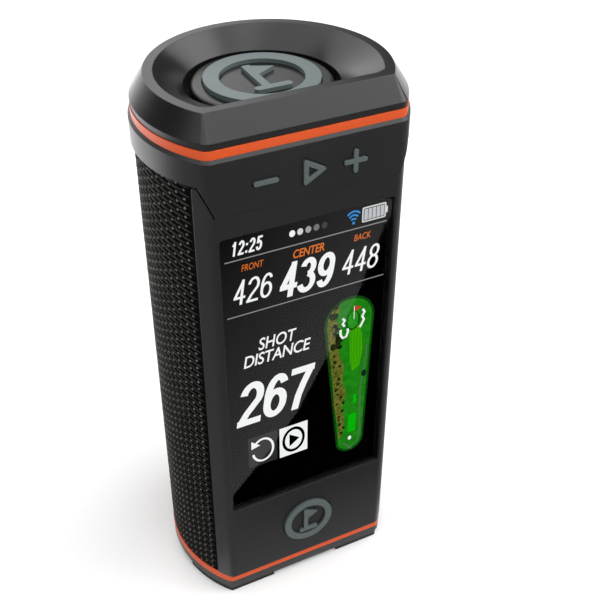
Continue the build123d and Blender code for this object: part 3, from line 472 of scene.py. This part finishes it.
def on_cloth(along, height, rise):
    """A point a distance along round the body from the middle of its back, to the right as seen
    from outside, and rise metres off the sheet. Takes single numbers or arrays."""
    angle = math.pi / 2 + along / cloth_radius
    reach = cloth_radius + rise
    return np.stack([reach * np.cos(angle), round_axis_y + reach * np.sin(angle),
                     height + 0 * along], axis=-1)


def window_cutter(name, low, high, corner):
    """A bar along Y that cuts one back window out of the cloth."""
    width = high.x - low.x + 2 * cloth_gap
    height = high.z - low.z + 2 * cloth_gap
    ring = rounded_outline(width, height, corner)
    middle = ((high.x + low.x) / 2, (high.z + low.z) / 2)
    points = [(middle[0] + x, y, middle[1] + z) for y in (0.0, cutter_length) for x, z in ring]
    return make_piece(name, points, prism_faces(len(ring)), finishes["fabric"], body=None,
                      smooth=False)


def stretched_sheet():
    """The knit's backing: one thin curved sheet with windows for the pad and the port."""
    steps = 124
    along = np.linspace(-half_sweep * cloth_radius, half_sweep * cloth_radius, steps + 1)
    rows = [on_cloth(along, height, rise) for height in (cloth_low.z, cloth_high.z)
            for rise in (0.0, -cloth_thickness)]
    points = np.concatenate(rows)
    span = steps + 1
    low_out, low_in, high_out, high_in = (span * at for at in range(4))
    faces = []
    for at in range(steps):
        faces += [(low_out + at, low_out + at + 1, high_out + at + 1, high_out + at),
                  (low_in + at + 1, low_in + at, high_in + at, high_in + at + 1),
                  (high_out + at, high_out + at + 1, high_in + at + 1, high_in + at),
                  (low_out + at + 1, low_out + at, low_in + at, low_in + at + 1)]
    faces += [(low_out, high_out, high_in, low_in),
              (high_out + steps, low_out + steps, low_in + steps, high_in + steps)]
    sheet = make_piece("acoustic_cloth", points, faces, finishes["fabric"], body=None)
    cutters = [window_cutter("pad_window", pad_low, pad_high, pad_corner),
               window_cutter("port_window", port_low, port_high, port_corner)]
    for cutter in cutters:
        cut = sheet.modifiers.new(cutter.name, "BOOLEAN")
        cut.object = cutter
        cut.solver = "EXACT"
    scene_state = bpy.context.evaluated_depsgraph_get()
    mesh = bpy.data.meshes.new_from_object(sheet.evaluated_get(scene_state))
    sheet.modifiers.clear()
    sheet.data = mesh
    for cutter in cutters:
        bpy.data.objects.remove(cutter)
    mesh.shade_smooth()
    mesh.set_sharp_from_angle(angle=math.radians(40))
    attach(sheet, "housing")
    return sheet


column_pitch = 2.8 * MM
row_pitch = 1.45 * MM
columns = int(2 * half_sweep * cloth_radius / column_pitch)
rows = int((cloth_high.z - cloth_low.z) / row_pitch)
float_half = 2.0 * MM
float_width = 0.33 * MM
float_rise = 0.36 * MM
float_tilt = math.tan(math.radians(11.0))
knot_radius = 0.46 * MM
knot_rise = 0.40 * MM
stitch_sink = 0.06 * MM                     # how deep a stitch's foot is in the backing
window_hem = 0.6 * MM


def stitch_places(wanted):
    """Middles of the knots (0) or of the floats (1), which take turns along rows and columns."""
    places = []
    for column in range(columns):
        along = (column - (columns - 1) / 2) * column_pitch
        for row in range(rows):
            if (column + row) % 2 == wanted:
                height = cloth_low.z + (row + 0.5) * row_pitch
                places.append((along, height))
    return np.array(places)


def clear_of_windows(places, margin):
    """Only the stitches that don't cross the pad's or the port's window."""
    middles = on_cloth(places[:, 0], places[:, 1], 0.0)
    keep = np.ones(len(places), bool)
    for low, high in ((pad_low, pad_high), (port_low, port_high)):
        inside = (np.abs(middles[:, 0]) < high.x + margin) & (middles[:, 1] > 0)
        inside &= (middles[:, 2] > low.z - window_hem) & (middles[:, 2] < high.z + window_hem)
        keep &= ~inside
    ends = np.abs(places[:, 0]) < half_sweep * cloth_radius - margin * 0.75
    return places[keep & ends]


def stitches(name, places, stations, ring, tilt, finish, wobble):
    """Closed low-poly stitches: each is a row of rings (distance along, width, rise)."""
    count = len(places)
    size = 1 + wobble * grit.standard_normal((count, 1, 1))
    along = np.array([s[0] for s in stations])[None, :, None]
    width = np.array([s[1] for s in stations])[None, :, None]
    rise = np.array([s[2] for s in stations])[None, :, None]
    across = np.array([r[0] for r in ring])[None, None, :]
    lift = np.array([r[1] for r in ring])[None, None, :]
    s = places[:, 0][:, None, None] + along + 0 * across
    z = places[:, 1][:, None, None] - tilt * along + across * width * size
    h = lift * rise * size - stitch_sink
    points = on_cloth(s + 0 * z, z, h + 0 * z).reshape(-1, 3)
    per_ring = len(ring)
    per_stitch = per_ring * len(stations)
    faces = []
    for step in range(len(stations) - 1):
        for side in range(per_ring):
            near, far = step * per_ring + side, step * per_ring + (side + 1) % per_ring
            faces.append((near, near + per_ring, far + per_ring, far))
    pattern = np.array(faces)
    quads = (pattern[None] + (np.arange(count) * per_stitch)[:, None, None]).reshape(-1, 4)
    caps = [tuple(range(per_ring)),
            tuple(reversed(range(per_stitch - per_ring, per_stitch)))]
    closed = [tuple(at + first * per_stitch for at in cap)
              for first in range(count) for cap in caps]
    return make_piece(name, points.tolist(), quads.tolist() + closed, finish)


def float_yarns():
    """Long slanting floats, lowest at both ends where they dive into the knit."""
    ring = ((-1.0, 0.0), (-0.72, 0.72), (0.0, 1.0), (0.72, 0.72), (1.0, 0.0))
    stations = [(-float_half, 0.35 * float_width, 0.15 * float_rise),
                (-0.5 * float_half, float_width, float_rise),
                (0.5 * float_half, float_width, float_rise),
                (float_half, 0.35 * float_width, 0.15 * float_rise)]
    places = clear_of_windows(stitch_places(1), float_half)
    return stitches("cloth_float_yarns", places, stations, ring, float_tilt,
                    yarn("dark_polyester_yarn", "#131210", "#2c2a25", 0.46), 0.06)


def knots():
    """Small round knots between the floats, their yarn coloured paler as a painted highlight."""
    ring = ((-1.0, 0.0), (-0.78, 0.66), (0.0, 1.0), (0.78, 0.66), (1.0, 0.0))
    stations = [(-knot_radius, 0.35 * knot_radius, 0.2 * knot_rise),
                (-0.6 * knot_radius, 0.85 * knot_radius, 0.85 * knot_rise),
                (0.0, knot_radius, knot_rise),
                (0.6 * knot_radius, 0.85 * knot_radius, 0.85 * knot_rise),
                (knot_radius, 0.35 * knot_radius, 0.2 * knot_rise)]
    places = clear_of_windows(stitch_places(0), knot_radius)
    # The knots' paler colour is a painted highlight: it stands for the light the raised knots
    # catch.
    return stitches("cloth_knots", places, stations, ring, 0.0,
                    yarn("knot_yarn_painted_highlight", "#4a4944", "#6a685f", 0.44), 0.05)


cloth = stretched_sheet()
floats = float_yarns()
knot_rows = knots()
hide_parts("grille_fabric")


# ================================================================ display picture
panel_low, panel_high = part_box("display_panel")
layer_step = 0.012 * MM                     # from one layer of the picture to the next
layer_thickness = 0.9 * layer_step
first_gap = 0.25 * layer_step
figure_slant = 0.14
word_slant = 0.2
picture_foot = panel_low.z + 1.5 * MM
lights = {
    "white": lit_cells("display_light_white", "#ffffff"),
    "silver": lit_cells("display_light_silver", "#c4c6cc"),
    "grey_light": lit_cells("display_light_pale_grey", "#dcdcdc"),
    "grey_mid": lit_cells("display_light_mid_grey", "#a4a4a4"),
    "grey_dim": lit_cells("display_light_dim_grey", "#747474"),
    "grey_dark": lit_cells("display_light_dark_grey", "#3c3c3c"),
    "rule": lit_cells("display_light_rule", "#8c8c8c"),
    "tile": lit_cells("display_light_tile", "#2e2e2e"),
    "orange": lit_cells("display_light_orange", "#e8741e"),
    "blue": lit_cells("display_light_blue", "#2f8fe0"),
    "black": dark_display(),
    "shade": lit_cells("display_light_deep_green", "#0c3a0c", "#145214", 2.0),
    "grass": lit_cells("display_light_grass", "#1a7a12", "#238c18", 3.0),
    "rough": lit_cells("display_light_rough", "#4a5518", "#807a34", 1.2),
    "trees": lit_cells("display_light_trees", "#0c1408", "#2a3a14", 1.1),
    "putting": lit_cells("display_light_putting_green", "#1f8a1f", "#37a62a", 1.4),
    "fairway": lit_cells("display_light_fairway", "#48b000", "#3ba000", 2.0),
    "stripe": lit_cells("display_light_fairway_stripe", "#2f9a0a", "#3aa810", 2.0),
    "tee": lit_cells("display_light_tee", "#00b400", "#10c010", 2.0),
    "path": lit_cells("display_light_path", "#4c6a4c", "#5f7a5c", 1.0),
    "water": lit_cells("display_light_pond", "#0d2416", "#12301e", 1.0),
    "red": lit_cells("display_light_pennant", "#d8382a"),
}


def layer_back(layer):
    return panel_low.y - layer * layer_step - first_gap


def picture_points(outline, layer):
    """Front and back rings of a picture shape; u is across from the display's middle and v up
    from the picture's foot, both in millimetres."""
    back = layer_back(layer)
    front = back - layer_thickness
    return [(u * MM, y, picture_foot + v * MM) for y in (front, back) for u, v in outline]


def picture_shape(name, outline, layer, light):
    """One lit area of the display, as a very thin closed layer in front of the panel."""
    count = len(outline)
    area = sum(outline[at][0] * outline[(at + 1) % count][1]
               - outline[(at + 1) % count][0] * outline[at][1] for at in range(count))
    if area < 0:
        outline = outline[::-1]
    piece = make_piece("display_" + name, picture_points(outline, layer), prism_faces(count),
                       lights[light], smooth=False)
    return piece


def box_outline(left, right, foot, head, corner=0.0):
    """Corner points of a box, with rounded corners if they are wanted."""
    if not corner:
        return [(left, foot), (right, foot), (right, head), (left, head)]
    middle = ((left + right) / 2, (foot + head) / 2)
    return [(middle[0] + u, middle[1] + v)
            for u, v in rounded_outline(right - left, head - foot, corner, 6)]


def ribbon(points, width):
    """Outline of a band of even width along a line of points."""
    line = np.array(points, float)
    ahead = np.gradient(line, axis=0)
    side = np.stack([-ahead[:, 1], ahead[:, 0]], axis=1)
    side /= np.linalg.norm(side, axis=1)[:, None]
    left = line + side * width / 2
    right = line - side * width / 2
    return [tuple(p) for p in left] + [tuple(p) for p in right[::-1]]


def arc_line(u, v, across, up, first, last, steps=32):
    """Points round part of an oval, in degrees."""
    angles = [math.radians(first + (last - first) * step / steps) for step in range(steps + 1)]
    return [(u + across * math.cos(a), v + up * math.sin(a)) for a in angles]


def lettering(name, words, left, right, foot, head, light, weight=0.0, spacing=1.0):
    """Words or figures on the display, fitted to their box."""
    curve = bpy.data.curves.new(name, "FONT")
    curve.body = words
    curve.extrude = 0.5
    curve.offset = weight
    curve.shear = word_slant
    curve.space_character = spacing
    curve.resolution_u = 6
    carrier = bpy.data.objects.new(name + "_carrier", curve)
    bpy.context.collection.objects.link(carrier)
    state = bpy.context.evaluated_depsgraph_get()
    mesh = bpy.data.meshes.new_from_object(carrier.evaluated_get(state))
    bpy.data.objects.remove(carrier)
    flat = np.zeros(len(mesh.vertices) * 3)
    mesh.vertices.foreach_get("co", flat)
    flat = flat.reshape(-1, 3)
    low, high = flat.min(axis=0), flat.max(axis=0)
    share = (flat - low) / (high - low)
    place = np.stack([(left + share[:, 0] * (right - left)) * MM,
                      layer_back(1) - share[:, 2] * layer_thickness,
                      picture_foot + (foot + share[:, 1] * (head - foot)) * MM], axis=1)
    mesh.vertices.foreach_set("co", place.ravel())
    mesh.materials.clear()
    mesh.materials.append(lights[light])
    mesh.update()
    piece = bpy.data.objects.new("display_" + name, mesh)
    bpy.context.collection.objects.link(piece)
    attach(piece, "housing")
    return piece


# Centre lines of the figures in a unit box, each with whether its ends are square and full.
figure_lines = {
    "1": [([(0.62, 0), (0.62, 1)], True), ([(0.62, 0.95), (0.12, 0.74)], False)],
    "2": [(arc_line(0.5, 0.72, 0.5, 0.28, 172, -32, 20) + [(0.30, 0.24), (0.02, 0.02)], False),
          ([(0, 0), (1, 0)], True)],
    "3": [(arc_line(0.47, 0.77, 0.43, 0.23, 168, -88, 20), False),
          (arc_line(0.47, 0.27, 0.53, 0.27, 88, -168, 22), False)],
    "4": [([(0.74, 0), (0.74, 1)], True), ([(0.72, 0.97), (0.02, 0.30)], False),
          ([(0.02, 0.27), (1, 0.27)], True)],
    "5": [([(0.18, 1), (0.92, 1)], True), ([(0.18, 1), (0.08, 0.50)], False),
          (arc_line(0.46, 0.33, 0.54, 0.33, 136, -166, 22), False)],
    "6": [(arc_line(0.5, 0.31, 0.5, 0.31, 0, 360, 32), False),
          ([(0, 0.30)] + arc_line(0.52, 0.52, 0.52, 0.48, 180, 92, 12)
           + arc_line(0.52, 0.74, 0.42, 0.26, 88, 18, 10), False)],
    "7": [([(0, 1), (1, 1)], True), ([(1, 1), (0.66, 0.62), (0.44, 0.30), (0.34, -0.10)], False)],
    "8": [(arc_line(0.5, 0.765, 0.43, 0.235, 0, 360, 28), False),
          (arc_line(0.5, 0.265, 0.5, 0.265, 0, 360, 32), False)],
    ":": [([(0.5, 0.06), (0.5, 0.08)], True), ([(0.5, 0.66), (0.5, 0.68)], True)],
}
figure_lines["9"] = [([(1 - u, 1 - v) for u, v in line], square)
                     for line, square in figure_lines["6"]]


def stroke_outline(line, width, square):
    """Outline of one pen stroke; a square end runs on by half the stroke's width."""
    if square:
        (u0, v0), (u1, v1) = line[0], line[-1]
        length = math.hypot(u1 - u0, v1 - v0)
        du, dv = (u1 - u0) / length * width / 2, (v1 - v0) / length * width / 2
        line = [(u0 - du, v0 - dv), (u1 + du, v1 + dv)]
    return ribbon(line, width)


def figures(name, digits, left, right, foot, head, stroke, gap):
    """Slanting figures drawn with one stroke width, fitted to their box."""
    shares = [0.42 if digit == ":" else 1.0 for digit in digits]
    room = right - left - figure_slant * (head - foot) - gap * (len(digits) - 1)
    points, faces = [], []
    start_u = left
    for digit, share in zip(digits, shares):
        width = room * share / sum(shares)
        for line, square in figure_lines[digit]:
            placed = [(start_u + stroke / 2 + u * (width - stroke),
                       foot + stroke / 2 + v * (head - foot - stroke)) for u, v in line]
            outline = [(u + figure_slant * (v - foot), min(max(v, foot), head))
                       for u, v in stroke_outline(placed, stroke, square)]
            faces += prism_faces(len(outline), len(points))
            points += picture_points(outline, 1)
        start_u += width + gap
    piece = make_piece("display_" + name, points, faces, lights["white"], smooth=False)
    return piece


def status_bar():
    """Clock, page dots, wireless arcs and battery along the top."""
    figures("clock", "12:25", -24.7, -14.2, 101.0, 105.8, 0.68, 0.40)
    for at, (u, light) in enumerate(((-4.9, "white"), (-2.3, "grey_light"), (0.4, "grey_mid"),
                                     (3.1, "grey_dim"), (5.8, "grey_dark"))):
        picture_shape(f"page_dot_{at}", oval(u, 103.6, 0.97, 1.15), 1, light)
    picture_shape("signal_dot", oval(15.7, 101.6, 0.45, 0.5), 1, "blue")
    for at, reach in enumerate((1.6, 2.9, 4.2)):
        band = arc_line(15.7, 101.5, reach * 0.75, reach, 48, 132, 16)
        picture_shape(f"signal_arc_{at}", ribbon(band, 0.6), 1, "blue")
    picture_shape("battery_case", box_outline(18.6, 26.9, 100.9, 106.2, 0.5), 1, "grey_light")
    picture_shape("battery_nub", box_outline(26.8, 27.5, 102.4, 104.7), 1, "grey_light")
    picture_shape("battery_inside", box_outline(19.1, 26.4, 101.4, 105.7, 0.3), 2, "black")
    for bar in range(5):
        left = 19.35 + bar * 1.41
        picture_shape(f"battery_bar_{bar}", box_outline(left, left + 1.2, 101.65, 105.45), 3,
                      "silver")
    picture_shape("upper_rule", box_outline(-26.6, 27.4, 99.2, 99.6), 1, "rule")


def distances():
    """Three distances to the green with their headings."""
    lettering("word_front", "FRONT", -21.4, -14.3, 95.0, 97.3, "orange")
    lettering("word_center", "CENTER", -4.6, 5.9, 94.6, 97.6, "orange", 0.015, 0.95)
    lettering("word_back", "BACK", 16.1, 22.0, 94.9, 97.2, "orange")
    figures("front_figure", "426", -24.7, -10.9, 83.3, 92.1, 0.85, 0.55)
    figures("center_figure", "439", -9.7, 10.3, 81.1, 93.6, 1.85, 0.35)
    figures("back_figure", "448", 11.9, 25.9, 83.1, 92.0, 0.85, 0.55)
    picture_shape("lower_rule", box_outline(-26.6, 27.4, 79.05, 79.45), 1, "rule")


def shot_panel():
    """The last shot's distance with its undo and play tiles."""
    lettering("word_shot", "SHOT", -16.7, -3.5, 63.6, 68.3, "white", 0.01)
    lettering("word_distance", "DISTANCE", -21.9, 1.6, 58.0, 62.7, "white", 0.01, 0.95)
    figures("shot_figure", "267", -25.3, 3.4, 33.8, 51.6, 2.6, 0.5)
    picture_shape("undo_tile", box_outline(-21.5, -10.8, 13.5, 27.3), 1, "tile")
    turn = arc_line(-16.1, 20.3, 3.75, 5.0, -168, 148, 48)
    picture_shape("undo_arrow", ribbon(turn, 0.85), 2, "white")
    picture_shape("undo_head", [(-20.3, 25.5), (-20.4, 21.9), (-17.1, 22.7)], 2, "white")
    picture_shape("play_tile", box_outline(-9.9, 0.7, 13.4, 27.0), 1, "white")
    picture_shape("play_ring", oval(-4.6, 20.25, 4.3, 5.75, 56), 2, "black")
    picture_shape("play_disc", oval(-4.6, 20.25, 3.25, 4.45, 56), 3, "white")
    picture_shape("play_arrow", [(-6.2, 23.1), (-6.2, 17.4), (-2.4, 20.25)], 4, "black")


def tapered(top, top_size, low, low_size):
    """Outline of two ovals, one above the other, joined by straight sides."""
    return arc_line(*top, *top_size, 0, 180, 28) + arc_line(*low, *low_size, 180, 360, 28)


def ragged(outline, amount):
    """The outline with its points pushed in and out, as a line of trees is."""
    return [(u + random.uniform(-amount, amount), v + random.uniform(-amount, amount))
            for u, v in outline]


def hole_map():
    """Plan of one hole, from its tees at the foot to the green."""
    picture_shape("hole_shade", tapered((15.6, 64.6), (9.2, 9.6), (17.5, 11.0), (5.5, 5.8)), 1,
                  "shade")
    picture_shape("hole_grass", tapered((15.7, 64.5), (8.3, 8.7), (17.5, 11.2), (4.7, 5.0)), 2,
                  "grass")
    trees = [(7.6, 66.0), (8.6, 70.2), (11.2, 72.6), (12.6, 70.4), (11.0, 67.5), (12.2, 64.0),
             (10.8, 60.5), (12.6, 56.0), (12.0, 51.0), (14.0, 46.5), (13.2, 40.0), (15.0, 34.0),
             (14.2, 28.0), (15.2, 21.0), (14.6, 14.0), (13.0, 12.0), (12.4, 20.0), (11.2, 30.0),
             (10.0, 40.0), (9.0, 50.0), (8.0, 58.0)]
    picture_shape("hole_rough", ragged(trees, 0.5), 3, "rough")
    tree_count = 30
    for at in range(tree_count):
        share = at / (tree_count - 1)
        u = 9.4 + 4.6 * share + random.uniform(-1.2, 1.6)
        v = 71.0 - 56.0 * share + random.uniform(-1.4, 1.4)
        size = random.uniform(0.9, 1.5) if v > 54 else random.uniform(0.35, 0.7)
        picture_shape(f"hole_tree_{at}", ragged(oval(u, v, size, size * 1.1, 12), 0.3 * size),
                      4, "trees")
    fairway = [(15.9, 61.2), (19.0, 61.8), (20.6, 58.0), (20.9, 50.0), (20.2, 44.5),
               (17.4, 42.6), (16.4, 47.0), (16.0, 54.0)]
    picture_shape("fairway", fairway, 3, "fairway")
    for at in range(4):
        foot, head = 16.75 + at * 1.0, 16.1 + at * 1.15
        picture_shape(f"fairway_stripe_{at}", [(foot, 45.2 - at * 0.1), (foot + 0.5, 45.2),
                                               (head + 0.55, 60.4), (head, 60.6)], 4, "stripe")
    picture_shape("green_edge", ragged(oval(16.9, 64.4, 2.5, 4.0, 18), 0.2), 4, "shade")
    picture_shape("green", ragged(oval(16.9, 64.4, 2.1, 3.5, 18), 0.2), 5, "putting")
    picture_shape("pin", box_outline(17.1, 17.35, 64.8, 70.0), 6, "white")
    picture_shape("pennant", [(17.35, 70.0), (17.35, 67.8), (20.0, 68.9)], 6, "red")
    bunkers = {
        "left": ribbon([(13.0, 66.2), (13.9, 65.2), (13.1, 64.0), (13.9, 62.8)], 0.85),
        "low": ribbon([(12.4, 61.9), (12.5, 59.6), (13.3, 58.2), (14.6, 58.4), (15.2, 60.4),
                       (15.0, 61.6)], 0.85),
        "right": ribbon([(20.4, 67.8), (21.1, 66.4), (20.3, 65.0), (21.0, 63.4), (20.2, 61.8),
                         (19.6, 60.6)], 0.85),
    }
    for side, outline in bunkers.items():
        picture_shape("bunker_" + side, outline, 5, "white")
    track = [(22.6, 52.6), (22.4, 47.0), (21.7, 41.2), (20.8, 33.7), (21.0, 28.0), (21.2, 22.9),
             (21.4, 13.2), (20.4, 9.0), (16.9, 6.3)]
    picture_shape("path", ribbon(track, 0.45), 5, "path")
    picture_shape("pond", oval(22.0, 40.1, 1.0, 1.5, 24), 6, "water")
    picture_shape("path_crossing", ribbon([(14.7, 10.0), (16.6, 8.2), (18.4, 5.9)], 0.45), 5,
                  "path")
    picture_shape("far_tee", box_outline(18.3, 19.4, 27.6, 31.5, 0.2), 5, "tee")
    picture_shape("near_tee", box_outline(16.6, 19.6, 14.4, 22.9, 0.3), 5, "tee")
    picture_shape("ball", oval(17.5, 11.5, 0.7, 0.92, 20), 6, "white")


status_bar()
distances()
shot_panel()
hole_map()


# ================================================================ studio
def stage_sheet(name, corners, finish):
    """A flat sheet of the studio, not part of the object."""
    sheet = make_piece(name, corners, [tuple(range(len(corners)))], finish, body=None,
                       smooth=False)
    return sheet


def only_in_reflections(sheet):
    """Hide a card from everything but glossy rays."""
    sheet.visible_camera = False
    sheet.visible_diffuse = False
    sheet.visible_shadow = False
    sheet.visible_transmission = False
    sheet.visible_volume_scatter = False


def studio_floor():
    """Seamless white paper."""
    material, tree, shader = start("studio_paper", Roughness=0.95, Specular_IOR_Level=0.1)
    place = add(tree, "ShaderNodeTexCoord").outputs["Object"]
    pulp = add(tree, "ShaderNodeTexNoise", {"Vector": place, "Scale": per_mm(60.0)})
    connect(tree, shader, Base_Color=tint(tree, pulp.outputs[0], "#f2f2f2", "#f5f5f5"))
    reach = 8.0
    return stage_sheet("floor", [(-reach, -reach, 0), (reach, -reach, 0), (reach, reach, 0),
                                 (-reach, reach, 0)], material)


def even_glow(name, strength):
    """A card of one brightness all over."""
    material, tree = blank(name)
    light = add(tree, "ShaderNodeEmission", {"Color": (1, 1, 1, 1), "Strength": strength})
    add(tree, "ShaderNodeOutputMaterial", {"Surface": light.outputs[0]})
    return material


def glow(name, low, high, start_point, end_point):
    """A soft card whose brightness runs from low to high between two points."""
    material, tree = blank(name)
    place = add(tree, "ShaderNodeTexCoord").outputs["Object"]
    direction = np.array(end_point) - np.array(start_point)
    length = float(np.linalg.norm(direction))
    offset = add(tree, "ShaderNodeVectorMath", {0: place, 1: tuple(start_point)},
                 operation="SUBTRACT")
    along = add(tree, "ShaderNodeVectorMath",
                {0: offset.outputs[0], 1: tuple(direction / length)}, operation="DOT_PRODUCT")
    strength = spread(tree, along.outputs["Value"], 0.0, length, low, high)
    light = add(tree, "ShaderNodeEmission", {"Color": (1, 1, 1, 1), "Strength": strength})
    add(tree, "ShaderNodeOutputMaterial", {"Surface": light.outputs[0]})
    return material


def floor_card(name, outline, height, finish):
    """A flat card on the floor that only shows in the object's gloss."""
    card = stage_sheet(name, [(x * MM, y * MM, height * MM) for x, y in outline], finish)
    only_in_reflections(card)


def reflection_cards():
    """Grey cards keep most of the white floor out of the dark plastic. A black flag keeps it out
    of the glass, with one sheen card for the soft diagonal streak across the screen. A bright
    card behind, to the left, gives the long highlight down that edge."""
    floor_card("front_card", [(-900, -1200), (900, -1200), (900, -38), (-900, -38)], 0.5,
               glow("front_cloth", 0.42, 0.30, (0, -0.040, 0), (0, -0.130, 0)))
    floor_card("left_card", [(-900, -38), (-46, -38), (-46, 20), (-140, 90), (-900, 240)], 0.5,
               glow("left_cloth", 0.42, 0.30, (-0.05, 0, 0), (-0.4, 0, 0)))
    floor_card("right_card", [(46, -38), (900, -38), (900, 500), (46, 60)], 0.5,
               even_glow("right_cloth", 0.45))
    floor_card("black_flag", [(-30, -62), (-5, -330), (260, -330), (75, -62)], 1.0,
               even_glow("flag_cloth", 0.0))
    floor_card("sheen_card", [(170.0, -248.0), (150.1, -229.9), (98.2, -172.1), (61.6, -135.7),
                              (33.5, -108.7), (2.5, -85.4), (-11.4, -75.9), (-30, -64),
                              (-60, -64), (-20, -330), (120, -330)], 2.0,
               glow("sheen_cloth", 0.55, 0.08, (0.070, -0.153, 0), (0.011, -0.214, 0)))
    floor_card("edge_card", [(-130, 120), (-900, 330), (-500, 1100), (120, 900), (0, 250)], 1.5,
               even_glow("edge_cloth", 2.4))


def soft_light(tree, turn, lift, inner, outer, strength):
    """Brightness of one soft box in the studio's dome. It stands turn degrees to the right of
    straight behind and lift degrees up, and fades out from inner to outer degrees."""
    turn, lift = math.radians(turn), math.radians(lift)
    way = (math.sin(turn) * math.cos(lift), math.cos(turn) * math.cos(lift), math.sin(lift))
    look = add(tree, "ShaderNodeTexCoord").outputs["Generated"]
    facing = add(tree, "ShaderNodeVectorMath", {0: look, 1: way},
                 operation="DOT_PRODUCT").outputs["Value"]
    return add(tree, "ShaderNodeMapRange",
               {"Value": facing, "From Min": math.cos(math.radians(outer)),
                "From Max": math.cos(math.radians(inner)), "To Min": 0.0, "To Max": strength},
               interpolation_type="SMOOTHSTEP").outputs["Result"]


# turn, lift, inner and outer edge in degrees, then brightness
soft_boxes = (
    (-8, 31, 22, 38, 1.6),       # behind
    (98, 40, 22, 34, 1.8),       # right
    (132, 44, 15, 52, 1.6),      # in front, to the right
    (-120, 66, 25, 52, 1.5),     # overhead, to the left
)
dome_glow = 0.08


def studio_dome():
    """Soft boxes on a dim dome. The camera sees a plain pale backdrop in its place."""
    world = bpy.data.worlds.new("studio_dome")
    world.use_nodes = True
    bpy.context.scene.world = world
    tree = world.node_tree
    tree.nodes.clear()
    total = dome_glow
    for box in soft_boxes:
        light = soft_light(tree, *box)
        total = add(tree, "ShaderNodeMath", {0: light, 1: total}).outputs[0]
    seen = add(tree, "ShaderNodeLightPath").outputs["Is Camera Ray"]
    backdrop = add(tree, "ShaderNodeMix", {"Factor": seen, "A": total, "B": 1.0}).outputs[0]
    background = add(tree, "ShaderNodeBackground", {"Color": (1, 1, 1, 1), "Strength": backdrop})
    add(tree, "ShaderNodeOutputWorld", {"Surface": background.outputs[0]})


def camera():
    """Camera above the object's front left corner, held level."""
    lens = bpy.data.cameras.new("camera")
    lens.lens = 59.34            # mm
    lens.sensor_width = 36.0
    lens.clip_start = 0.01
    lens.clip_end = 50.0
    holder = bpy.data.objects.new("camera", lens)
    bpy.context.collection.objects.link(holder)
    forward = Vector((0.35867, 0.72228, -0.59132)).normalized()
    right = Vector((0.89635, -0.44333, 0.00217)).normalized()
    up = right.cross(forward).normalized()
    right = forward.cross(up).normalized()
    turn = Matrix((right, up, -forward)).transposed().to_4x4()
    stand = (-0.11188, -0.25278, 0.30552)
    holder.matrix_world = Matrix.Translation(stand) @ turn
    bpy.context.scene.camera = holder


studio_floor()
reflection_cards()
studio_dome()
camera()
bpy.context.scene.view_settings.view_transform = "Standard"
bpy.context.scene.view_settings.look = "None"
